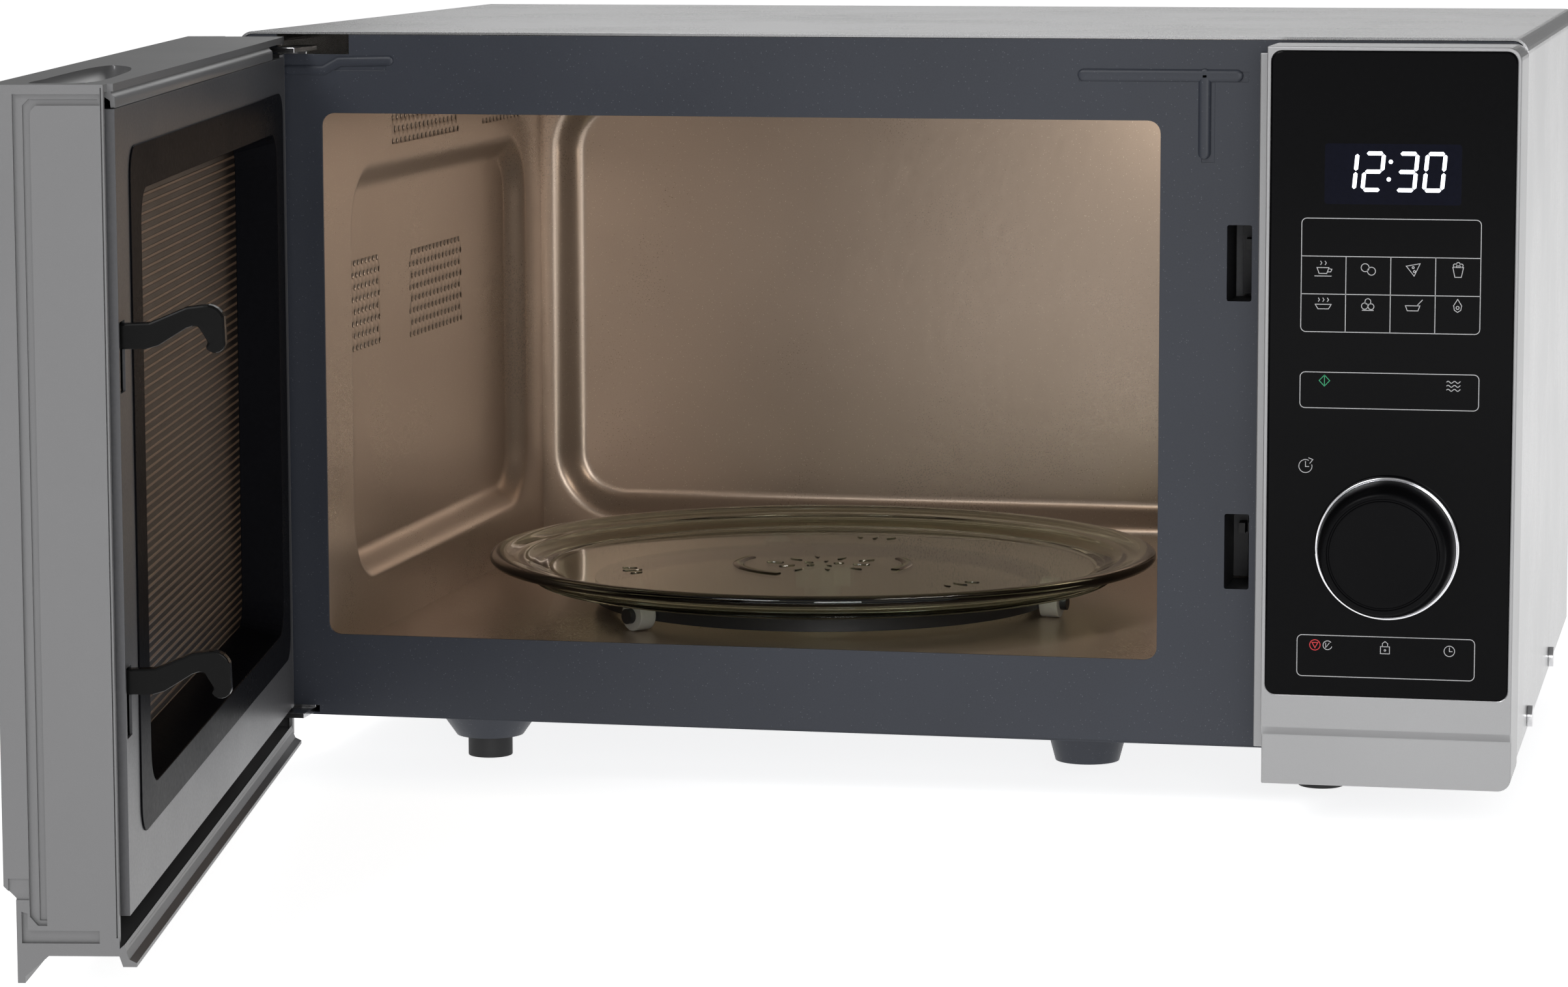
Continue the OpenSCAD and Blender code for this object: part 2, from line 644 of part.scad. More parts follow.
module panel_housing() {
    color("silver") difference() {
        union() {
            intersection() {
                along_x(panel_x0, half_w) polygon(face_outline(panel_face, 0, panel_z, panel_top));
                plate_y([panel_x0 - 10, panel_z], [half_w, panel_top], 5, panel_face - 1, 1);
            }
            block([panel_x0 - flange_w, -flange_t, base_top], [panel_x0 + 1, 0, panel_top - 4]);
        }
        along_x(panel_x0 + wall, half_w - wall) polygon(face_outline(panel_face + wall + win_t, 1,
            panel_z + wall, panel_top - wall));
        plate_y([panel_x0 + 1.5, win_z0], [half_w - 1.5, panel_top - 1.5], win_r - 1, panel_face - 1,
            panel_face + win_t);
        rod_y(panel_face - 1, panel_face + 8, panel_x, knob_z, 8);
        plate_y([panel_x - 32, 238], [panel_x + 32, 268], 2, panel_face - 1, panel_face + 8);
    }
}
module panel_window() {
    color("black") difference() {
        plate_y([panel_x0 + 1.5 + seat, win_z0 + seat], [half_w - 1.5 - seat, panel_top - 1.5 - seat],
            win_r - 1, panel_face, panel_face + win_t);
        rod_y(panel_face - 1, panel_face + win_t + 1, panel_x, knob_z, 6);
    }
}
board_y = -14;
module control_board() {
    color("darkgreen") block([panel_x0 + 6, board_y, 66], [half_w - 6, board_y + 1.6, 290]);
    color("dimgray") {
        for (x = [panel_x0 + 6, half_w - 10], z = [70, 280])
            block([x, panel_face + wall + win_t, z], [x + 4, board_y, z + 5]);
        block([panel_x - 30, panel_face + win_t + 0.5, 240], [panel_x + 30, board_y, 266]);
        for (k = [0 : 2]) block([panel_x - 32 + k * 22, board_y + 1.6, 150], [panel_x - 16 + k * 22, -0.5, 178]);
        block([panel_x - 24, board_y + 1.6, 196], [panel_x + 14, -0.5, 224]);
    }
}
module jog_encoder() {
    color("gray") difference() {
        union() {
            block([panel_x - 7, board_y - 8, knob_z - 7], [panel_x + 7, board_y, knob_z + 7]);
            rod_y(board_y - 15, board_y, panel_x, knob_z, 4.5);
        }
        rod_y(board_y - 16, board_y - 2, panel_x, knob_z, 3 + run_fit);
    }
}
module jog_knob() {
    y0 = panel_face - gap;
    color([0.07, 0.07, 0.08]) translate([panel_x, y0, knob_z]) rotate([90, 0, 0]) difference() {
        rotate_extrude() polygon([[0, 0], [knob_r - 0.5, 0], [knob_r, 0.5], [knob_r, 3], [knob_r - 1.2, 4],
            [knob_face_r + 2.4, 5], [knob_face_r + 1, knob_out - 1.5], [knob_face_r, knob_out - 0.5],
            [knob_face_r - 1, knob_out], [0, knob_out]]);
        rotate_extrude() polygon([[9, -1], [knob_face_r - 1, -1], [knob_face_r - 2, knob_out - 3], [9, knob_out - 3]]);
    }
    color("silver") rod_y(board_y - 14, board_y - 2 - gap, panel_x, knob_z, 3);
    color("silver") rod_y(y0 - 1, board_y - 13, panel_x, knob_z, 3);
}

// ---------- turntable ----------

module turntable_motor() {
    top = floor_z - sheet;
    color("silver") difference() {
        union() {
            rod_z(top - 18, top, tray_x, tray_y, 25);
            for (s = [-1, 1]) block([tray_x + s * 30 - 8, tray_y - 6, top - 1.2], [tray_x + s * 30 + 8, tray_y + 6, top]);
        }
        rod_z(top - 14, top + 1, tray_x, tray_y, shaft_r + run_fit);
    }
}
module drive_coupler() {
    lobe_z = tray_z - gap;
    color("ivory") at_tray() {
        translate([0, 0, floor_z - sheet - 12]) cylinder(h = 14, r = shaft_r);
        translate([0, 0, floor_z + 0.5]) cylinder(h = 5, r = 8);
        for (i = [0 : 2]) rotate([0, 0, 120 * i])
            block([0, -4, floor_z + 5], [13, 4, lobe_z]);
        translate([0, 0, floor_z + 5]) cylinder(h = lobe_z - floor_z - 5, r = 7);
    }
}
ring_w = 8;
ring_r = roller_at - roller_w / 2 - gap - ring_w;
axle_r = 1.8;
module roller_ring() {
    color([0.2, 0.2, 0.2]) at_tray() {
        rotate_extrude($fn = 96) translate([ring_r, roller_z - 2.5]) square([ring_w, 5]);
        for (i = [0 : 2]) rotate([0, 0, roller_angle - 120 * i]) {
            block([ring_r + 1, -6, roller_z - 2.5], [ring_r + ring_w, 6, roller_z + 3.5]);
            rod_x(ring_r + 4, roller_at + roller_w / 2 + 2.5, 0, roller_z, axle_r);
            rod_x(roller_at + roller_w / 2 + gap, roller_at + roller_w / 2 + 3, 0, roller_z, 3.2);
        }
    }
}
module roller(i) {
    color([0.88, 0.84, 0.74]) at_roller(i) difference() {
        rod_x(roller_at - roller_w / 2, roller_at + roller_w / 2, 0, roller_z, roller_r - 0.01);
        rod_x(roller_at - roller_w, roller_at + roller_w, 0, roller_z, axle_r + run_fit);
    }
}
module glass_tray() {
    color([0.6, 0.68, 0.6, 0.6]) at_tray() translate([0, 0, tray_z]) rotate_extrude($fn = 128)
        polygon([[0, 0], [tray_r - 26, 0], [tray_r - 22, 0.8], [tray_r - 5, 6], [tray_r - 1, 8],
            [tray_r, tray_rim_h - 2.5], [tray_r - 1, tray_rim_h - 0.5], [tray_r - 3, tray_rim_h],
            [tray_r - 5, tray_rim_h - 0.6], [tray_r - 8, tray_rim_h - 3], [tray_r - 24, glass_t], [0, glass_t]]);
}

// ---------- door ----------

win_x = [cav_x0 + 14, cav_x1 - 14];
win_z = [cav_open_z + 11, cav_open_top - 11];
choke_x = [cav_x0 - 13, cav_x1 + 13];
choke_z = [cav_open_z - 7, cav_open_top + 9];
glass_in = door_out + 3;
hinge_heel = 15;                                 // how far in front of the axis the door's left edge ends
lip_out = 3;                                     // how far the door's bottom lip reaches past its inner face
lip_drop = 3.5;
hinge_cheek = 8.5;                               // how far left of the axis it reaches behind that
chin_y = door_out + chin_back;
grip_lo = [door_x1 - 72, door_out + 12, frame_z1 + 1.5];
grip_hi = [door_x1 - 10, door_in - 10, panel_top + 1];

// The door seen from above: a slab whose inner corner at the hinge is round about the hinge axis,
// so that it clears the front plate as it swings, set in by t all round
module door_plan(t) {
    block([hinge_x, door_out, panel_z], [door_x1 - t, door_in + 1, panel_top]);
    block([door_x0 + t, door_out, panel_z], [hinge_x + 1, hinge_y - hinge_heel - t, panel_top]);
    block([hinge_x - hinge_cheek + t, door_out, panel_z], [hinge_x + 1, hinge_y, panel_top]);
    at_hinge() translate([0, 0, panel_z]) cylinder(h = panel_top - panel_z, r = hinge_clear_r - t);
}
module door_cover() {
    color("silver") on_door() {
        difference() {
            intersection() {
                along_x(door_x0, door_x1)
                    polygon(face_outline(door_out, door_in - 0.5, panel_z, panel_top));
                door_plan(0);
            }
            intersection() {
                along_x(door_x0, door_x1) polygon(face_outline(glass_in + wall, door_in + 1,
                    panel_z + door_wall, panel_top - door_wall));
                door_plan(door_wall);
            }
            block([door_x0 + 2, door_out - 1, win_z0], [door_x1 - 1.5, glass_in, panel_top - 1.5]);
            plate_y([win_x[0] - 6, win_z[0] - 8], [win_x[1] + 6, win_z[1] + 8], 10,
                door_out - 1, glass_in + wall + 1);
            for (z = [top_arm_z, low_arm_z]) block([door_x0 - 1, hinge_y - hinge_heel, z - 1],
                [hinge_x + 24, 1, z + arm_t + 1]);
            block([frame_x1 - 1, door_in - 2.5, panel_z - 1], [door_x1 + 1, 1, panel_top + 1]);
            block(grip_lo, grip_hi);
        }
        difference() {
            block(grip_lo - [door_wall, door_wall, 1], grip_hi + [door_wall, door_wall, -2]);
            block(grip_lo, grip_hi);
        }
        block([door_x0, chin_y, panel_z - chin_drop], [door_x1, chin_y + door_wall, panel_z + 1]);
        along_x(door_x1 - door_wall, door_x1) polygon([[chin_y, panel_z - chin_drop],
            [chin_y + door_wall + chin_drop, panel_z + 1], [chin_y, panel_z + 1]]);
        along_x(hinge_x, door_x1) translate([door_in, panel_z]) polygon([[-3, 1], [-3, 2], [-0.8, 4],
            [-0.4, 1.5], [0.6, -1], [lip_out, 1.3 - lip_drop], [lip_out, -lip_drop], [-1.5, -lip_drop]]);
    }
}
module door_front_glass() {
    color([0.05, 0.05, 0.06]) on_door() block([door_x0 + 2 + seat, door_out, win_z0 + seat],
        [door_x1 - 1.5 - seat, glass_in, panel_top - 1.5 - seat]);
}
module door_frame() {
    y0 = door_in - sheet;
    back = y0 - frame_return;
    slots = [for (z = hook_zs) [z + hook_rise - 6 - 8.5 - latch_travel - 7, z + hook_rise - 6 + 0.6]];
    color("gray") on_door() difference() {
        block([frame_x0, back, frame_z0], [frame_x1, door_in, frame_z1]);
        block([frame_x0 + sheet, back - 1, frame_z0 + sheet], [frame_x1 - sheet, y0, frame_z1 - sheet]);
        plate_y([choke_x[0] + 4, choke_z[0] + 4], [choke_x[1] - 4, choke_z[1] - 4], 12, y0 - 1, 1);
        for (s = slots) block([slot_x - slot_w / 2, y0 - 1, s[0]], [slot_x + slot_w / 2, 1, s[1]]);
        at_hinge() for (z = [frame_z0 - 1, frame_z1 - 2]) translate([0, 0, z])
            cylinder(h = 3, r = hinge_pin_r + 1);
        block([frame_x0 - 1, back - 1, frame_z0 - 1], [frame_x0 + 2, y0, frame_z1 + 1]);
    }
}
module choke_cover() {
    y0 = door_in - window_recess;
    color([0.04, 0.04, 0.05]) on_door() difference() {
        union() {
            plate_y([choke_x[0], choke_z[0]], [choke_x[1], choke_z[1]], 10, door_in, door_in + 0.6);
            plate_y([choke_x[0] + 4.3, choke_z[0] + 4.3], [choke_x[1] - 4.3, choke_z[1] - 4.3], 11.7, y0, door_in + 0.1);
        }
        hull() {
            plate_y([win_x[0], win_z[0]], [win_x[1], win_z[1]], 9, y0 - 0.2, y0);
            plate_y([win_x[0] - 7, win_z[0] - 5], [win_x[1] + 7, win_z[1] + 5], 12, door_in + 0.6, door_in + 0.8);
        }
    }
}
module mesh_screen() {
    y0 = door_in - window_recess;
    color("dimgray") on_door() block([choke_x[0] + 6, y0 - 0.8, choke_z[0] + 6], [choke_x[1] - 6, y0, choke_z[1] - 6]);
}

// Side outline of one hook, with 0 at the door's inner face and at the underside of its head
function hook_outline(back) = concat([[back, 1.2], [8, 1.2], [12, 2.4], [21, 8], [23.5, 8.8], [25, 8.4]],
    [[28, 3.4]], arc([30.2, 3.6], 3.6, 210, 340, 6), arc([27.6, 9.6], 6, 20, 100, 5), [[21, 14.8],
    [12, 11], [9, 9.8], [back, 9.4]]);
hook_scale = hook_reach / 34;
module latch_lever() {
    color([0.05, 0.05, 0.05]) on_door() {
        block([slot_x - lever_w / 2, lever_y0, lever_z0], [slot_x + lever_w / 2, lever_y1, lever_z1]);
        for (z = hook_zs) translate([0, door_in, z]) along_x(slot_x - hook_t / 2, slot_x + hook_t / 2)
            polygon([for (p = hook_outline(-2.2)) [p.x * hook_scale, p.y]]);
    }
}

// The latch spring: a helix of round wire between the lever's foot and the door frame
spring_z0 = frame_z0 + sheet;
spring_z1 = lever_z0;
spring_turns = 9;
spring_r = 3;
wire_r = 0.4;
module latch_spring() {
    x = slot_x;
    y = (lever_y0 + lever_y1) / 2;
    steps = spring_turns * 12;
    sides = 6;
    rise = spring_z1 - spring_z0 - 2 * wire_r;
    pts = [for (i = [0 : steps], k = [0 : sides - 1]) let (a = 360 * i * spring_turns / steps, b = 360 * k / sides)
        [(spring_r + wire_r * cos(b)) * cos(a), (spring_r + wire_r * cos(b)) * sin(a),
            wire_r + rise * i / steps + wire_r * sin(b)]];
    faces = [for (i = [0 : steps - 1], k = [0 : sides - 1], t = [0, 1])
        let (a = i * sides + k, b = i * sides + (k + 1) % sides) t == 0 ? [a, b, b + sides] : [a, b + sides, a + sides]];
    ends = [[for (k = [0 : sides - 1]) sides - 1 - k], [for (k = [0 : sides - 1]) steps * sides + k]];
    color("silver") on_door() translate([x, y, spring_z0]) polyhedron(pts, concat(faces, ends));
}

// ---------- hinge ----------

module hinge_arm(z, pin_z0, pin_z1) {
    block([hinge_x - 4, hinge_y - 4, z], [hinge_x + 16, hinge_y + 4, z + arm_t]);
    block([hinge_x + 6, hinge_y - 4, z], [hinge_x + 16, sheet + 14, z + arm_t]);
    rod_z(pin_z0, pin_z1, hinge_x, hinge_y, hinge_pin_r);
}
bush_h = 14;
module hinge_brackets() {
    color("lightgray") {
        hinge_arm(top_arm_z, top_arm_z - bush_h, top_arm_z + arm_t);
        hinge_arm(low_arm_z, low_arm_z, low_arm_z + arm_t + bush_h);
        block([hinge_x + 6, sheet, top_arm_z - 20], [hinge_x + 16, sheet + 2, top_arm_z + arm_t]);
        block([hinge_x + 6, sheet, low_arm_z + arm_t], [hinge_x + 16, sheet + 2, low_arm_z + 22]);
    }
}
module hinge_bushes() {
    ends = [[frame_z1 - sheet - 10, frame_z1 - sheet], [frame_z0 + sheet, frame_z0 + sheet + 10]];
    color("ivory") on_door() for (e = ends) difference() {
        union() {
            block([frame_x0, hinge_y - 4.5, e[0]], [hinge_x + 14, door_in - sheet, e[1]]);
            rod_z(e[0], e[1], hinge_x, hinge_y, hinge_pin_r + 3);
        }
        rod_z(e[0] - 1, e[1] + 1, hinge_x, hinge_y, hinge_pin_r + run_fit);
    }
}

// ---------- assembly ----------

translate(-origin) {
    outer_cabinet();
    base_plate();
    rubber_feet();
    front_plate();
    cavity_left_wall();
    cavity_right_wall();
    cavity_ceiling();
    cavity_floor();
    cavity_back_wall();
    rear_panel();
    rear_spacers();
    cord_inlet();
    case_screws();
    waveguide();
    waveguide_cover();
    magnetron_yoke();
    magnetron_fins();
    magnetron_anode();
    magnetron_filter();
    transformer_core();
    primary_winding();
    secondary_winding();
    capacitor();
    capacitor_clamp();
    diode();
    fan_motor();
    fan_blade();
    fan_shroud();
    lamp_holder();
    lamp_bulb();
    thermal_cutouts();
    filter_board();
    latch_board();
    upper_switch();
    lower_switch();
    monitor_switch();
    upper_plunger();
    lower_plunger();
    monitor_plunger();
    panel_housing();
    panel_window();
    control_board();
    jog_encoder();
    jog_knob();
    turntable_motor();
    drive_coupler();
    roller_ring();
    roller(0);  // roller_1
    roller(1);  // roller_2
    roller(2);  // roller_3
    glass_tray();
    door_cover();
    door_front_glass();
    door_frame();
    choke_cover();
    mesh_screen();
    latch_lever();
    latch_spring();
    hinge_brackets();
    hinge_bushes();
}
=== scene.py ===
import json
import math

import bmesh
import bpy
from mathutils import Matrix, Vector
from mathutils.geometry import delaunay_2d_cdt


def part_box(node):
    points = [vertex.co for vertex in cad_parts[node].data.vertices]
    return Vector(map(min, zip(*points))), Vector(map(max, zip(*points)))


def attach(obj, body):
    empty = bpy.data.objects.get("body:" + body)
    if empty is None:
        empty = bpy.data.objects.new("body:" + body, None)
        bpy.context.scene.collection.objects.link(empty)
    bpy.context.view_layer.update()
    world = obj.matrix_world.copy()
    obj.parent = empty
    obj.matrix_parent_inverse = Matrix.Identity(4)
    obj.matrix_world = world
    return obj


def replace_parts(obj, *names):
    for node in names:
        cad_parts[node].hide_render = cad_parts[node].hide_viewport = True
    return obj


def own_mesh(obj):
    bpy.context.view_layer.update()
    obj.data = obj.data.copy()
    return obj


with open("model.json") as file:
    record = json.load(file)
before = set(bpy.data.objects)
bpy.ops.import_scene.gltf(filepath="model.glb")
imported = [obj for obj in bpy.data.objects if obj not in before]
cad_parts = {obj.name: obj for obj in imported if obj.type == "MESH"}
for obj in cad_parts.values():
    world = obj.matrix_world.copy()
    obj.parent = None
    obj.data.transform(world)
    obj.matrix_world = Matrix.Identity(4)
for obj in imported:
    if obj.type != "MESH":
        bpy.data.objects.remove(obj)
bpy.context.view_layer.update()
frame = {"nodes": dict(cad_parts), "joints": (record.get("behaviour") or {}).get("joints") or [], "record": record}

# Pieces are worked out in mm in the source's own frame: X 0 in the middle of the cabinet, Y 0 at the
# face of the front plate, Z 0 under the feet. SHIFT takes that to the stored frame, in mm.
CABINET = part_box("outer_cabinet")
SHIFT = ((CABINET[0].x + CABINET[1].x) * 500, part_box("front_plate")[0].y * 1000, 0.0)
JOINTS = {joint["name"]: joint for joint in frame["joints"]}


def point(x, y, z):
    """A place of the working frame, in mm, as a point of the stored frame, in metres."""
    return Vector(((x + SHIFT[0]) / 1000, (y + SHIFT[1]) / 1000, z / 1000))


def box_mm(node):
    """A node's lowest and highest corners in the working frame, in mm."""
    return [corner * 1000 - Vector(SHIFT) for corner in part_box(node)]


def axis_mm(joint):
    """Where a joint's axis is in the working frame, in mm."""
    return [place * 1000 - shift for place, shift in zip(JOINTS[joint]["pos_m"], SHIFT)]


HINGE = axis_mm("door_hinge")
OPEN = math.radians(JOINTS["door_hinge"]["range_deg"][1])
DOOR_END = 160.0  # X of the closed door's free end
DOOR_TOP = box_mm("door_cover")[1].z


def door_point(x, y, z):
    """A place given for the closed door, turned to where the open door has it."""
    dx, dy = x - HINGE[0], y - HINGE[1]
    c, s = math.cos(OPEN), math.sin(OPEN)
    return point(HINGE[0] + dx * c + dy * s, HINGE[1] - dx * s + dy * c, z)


# ---------------------------------------------------------------- camera
CAMERA_PLACE = (0.377427, -1.87145, 0.374513)
CAMERA_TURN = (12.011, 7.417, -0.121)  # degrees to the left, down and anticlockwise
LENS_MM, SENSOR_MM = 112.99, 36


def make_camera():
    yaw, pitch, roll = (math.radians(angle) for angle in CAMERA_TURN)
    ahead = Vector((-math.sin(yaw) * math.cos(pitch), math.cos(yaw) * math.cos(pitch), -math.sin(pitch)))
    right = Vector((math.cos(yaw), math.sin(yaw), 0))
    up = right.cross(ahead)
    x = math.cos(roll) * right + math.sin(roll) * up
    y = math.cos(roll) * up - math.sin(roll) * right
    data = bpy.data.cameras.new("camera")
    data.sensor_width = SENSOR_MM
    data.lens = LENS_MM
    data.clip_start, data.clip_end = 0.05, 100
    camera = bpy.data.objects.new("camera", data)
    bpy.context.scene.collection.objects.link(camera)
    turned = Matrix((x, y, -ahead)).transposed().to_4x4()
    camera.matrix_world = Matrix.Translation(CAMERA_PLACE) @ turned
    bpy.context.scene.camera = camera


make_camera()


# ---------------------------------------------------------------- materials
def surface(name, colour, rough, metal=0.0, vary=0.06, rvary=0.06, grain=900.0, bump=0.05,
            peel=0.0, peel_scale=180.0, speck=None, speck_scale=900.0, glass=0.0, ior=1.5, glow=None,
            streak=None, spec=0.5):
    """A material whose colour, roughness and bump vary with noise: grain is the fine noise's scale,
    vary and rvary how far colour and roughness swing, peel a soft waviness and speck (colour, share)."""
    material = bpy.data.materials.new(name)
    material.use_nodes = True
    nodes, links = material.node_tree.nodes, material.node_tree.links
    nodes.clear()
    out = nodes.new("ShaderNodeOutputMaterial")
    shader = nodes.new("ShaderNodeBsdfPrincipled")
    links.new(shader.outputs[0], out.inputs[0])
    where = nodes.new("ShaderNodeTexCoord")
    source = where.outputs["Object"]
    if streak:
        stretch = nodes.new("ShaderNodeMapping")
        stretch.inputs["Scale"].default_value = streak
        links.new(source, stretch.inputs[0])
        source = stretch.outputs[0]
    fine = nodes.new("ShaderNodeTexNoise")
    fine.inputs["Scale"].default_value = grain
    fine.inputs["Detail"].default_value = 3
    links.new(source, fine.inputs["Vector"])
    broad = nodes.new("ShaderNodeTexNoise")
    broad.inputs["Scale"].default_value = 14
    broad.inputs["Detail"].default_value = 4
    links.new(where.outputs["Object"], broad.inputs["Vector"])
    both = nodes.new("ShaderNodeMath")
    both.operation = "MULTIPLY_ADD"
    both.inputs[1].default_value = 0.5
    links.new(fine.outputs[0], both.inputs[0])
    half = nodes.new("ShaderNodeMath")
    half.operation = "MULTIPLY"
    half.inputs[1].default_value = 0.5
    links.new(broad.outputs[0], half.inputs[0])
    links.new(half.outputs[0], both.inputs[2])
    ramp = nodes.new("ShaderNodeValToRGB")
    ramp.color_ramp.elements[0].position = 0.3
    ramp.color_ramp.elements[1].position = 0.7
    ramp.color_ramp.elements[0].color = (*[c * (1 - vary) for c in colour], 1)
    ramp.color_ramp.elements[1].color = (*[min(1, c * (1 + vary)) for c in colour], 1)
    links.new(both.outputs[0], ramp.inputs[0])
    tint = ramp.outputs[0]
    if speck:
        dots = nodes.new("ShaderNodeTexVoronoi")
        dots.inputs["Scale"].default_value = speck_scale
        links.new(where.outputs["Object"], dots.inputs["Vector"])
        pick = nodes.new("ShaderNodeSeparateColor")
        links.new(dots.outputs["Color"], pick.inputs[0])
        some = nodes.new("ShaderNodeMath")
        some.operation = "GREATER_THAN"
        some.inputs[1].default_value = speck[1]
        links.new(pick.outputs[0], some.inputs[0])
        near = nodes.new("ShaderNodeMath")
        near.operation = "LESS_THAN"
        near.inputs[1].default_value = 0.28
        links.new(dots.outputs["Distance"], near.inputs[0])
        dot = nodes.new("ShaderNodeMath")
        dot.operation = "MULTIPLY"
        links.new(some.outputs[0], dot.inputs[0])
        links.new(near.outputs[0], dot.inputs[1])
        mix = nodes.new("ShaderNodeMix")
        mix.data_type = "RGBA"
        mix.inputs[7].default_value = (*speck[0], 1)
        links.new(dot.outputs[0], mix.inputs[0])
        links.new(tint, mix.inputs[6])
        tint = mix.outputs[2]
    links.new(tint, shader.inputs["Base Color"])
    span = nodes.new("ShaderNodeMapRange")
    span.inputs["From Min"].default_value = 0.3
    span.inputs["From Max"].default_value = 0.7
    span.inputs["To Min"].default_value = max(0.02, rough - rvary)
    span.inputs["To Max"].default_value = min(1, rough + rvary)
    links.new(both.outputs[0], span.inputs[0])
    links.new(span.outputs[0], shader.inputs["Roughness"])
    last = None
    if peel:
        skin = nodes.new("ShaderNodeTexNoise")
        skin.inputs["Scale"].default_value = peel_scale
        skin.inputs["Detail"].default_value = 1
        links.new(where.outputs["Object"], skin.inputs["Vector"])
        soft = nodes.new("ShaderNodeBump")
        soft.inputs["Strength"].default_value = peel
        soft.inputs["Distance"].default_value = 0.0006
        links.new(skin.outputs[0], soft.inputs["Height"])
        last = soft.outputs[0]
    grit = nodes.new("ShaderNodeBump")
    grit.inputs["Strength"].default_value = bump
    grit.inputs["Distance"].default_value = 0.0001
    links.new(fine.outputs[0], grit.inputs["Height"])
    if last:
        links.new(last, grit.inputs["Normal"])
    links.new(grit.outputs[0], shader.inputs["Normal"])
    shader.inputs["Metallic"].default_value = metal
    shader.inputs["IOR"].default_value = ior
    shader.inputs["Specular IOR Level"].default_value = spec
    shader.inputs["Transmission Weight"].default_value = glass
    if glow:
        shader.inputs["Emission Color"].default_value = (*glow[0], 1)
        shader.inputs["Emission Strength"].default_value = glow[1]
    return material


def painted_highlight_bands(name, colour, line, pitch, rough, metal):
    """Black screen coating crossed by fine level lines of painted bronze highlight, which also raise a bump, for
    the perforated sheet behind the glass.
    """
    material = surface(name, colour, rough, metal, vary=0.12, grain=1400, bump=0.25)
    nodes, links = material.node_tree.nodes, material.node_tree.links
    shader = next(x for x in nodes if x.type == "BSDF_PRINCIPLED")
    where = next(x for x in nodes if x.type == "TEX_COORD")
    split = nodes.new("ShaderNodeSeparateXYZ")
    links.new(where.outputs["Object"], split.inputs[0])
    turns = nodes.new("ShaderNodeMath")
    turns.operation = "MULTIPLY"
    turns.inputs[1].default_value = 2 * math.pi / pitch
    links.new(split.outputs[2], turns.inputs[0])
    wave = nodes.new("ShaderNodeMath")
    wave.operation = "SINE"
    links.new(turns.outputs[0], wave.inputs[0])
    edge = nodes.new("ShaderNodeMapRange")
    edge.interpolation_type = "SMOOTHSTEP"
    edge.inputs["From Min"].default_value = 0.25
    edge.inputs["From Max"].default_value = 0.75
    links.new(wave.outputs[0], edge.inputs[0])
    # The line colour is a painted bronze highlight, mixed into the black coating along the level lines.
    mix = nodes.new("ShaderNodeMix")
    mix.data_type = "RGBA"
    mix.inputs[7].default_value = (*line, 1)
    old = shader.inputs["Base Color"].links[0].from_socket
    links.new(edge.outputs[0], mix.inputs[0])
    links.new(old, mix.inputs[6])
    links.new(mix.outputs[2], shader.inputs["Base Color"])
    rise = nodes.new("ShaderNodeBump")
    rise.inputs["Strength"].default_value = 0.5
    rise.inputs["Distance"].default_value = 0.0004
    links.new(edge.outputs[0], rise.inputs["Height"])
    links.new(shader.inputs["Normal"].links[0].from_socket, rise.inputs["Normal"])
    links.new(rise.outputs[0], shader.inputs["Normal"])
    return material


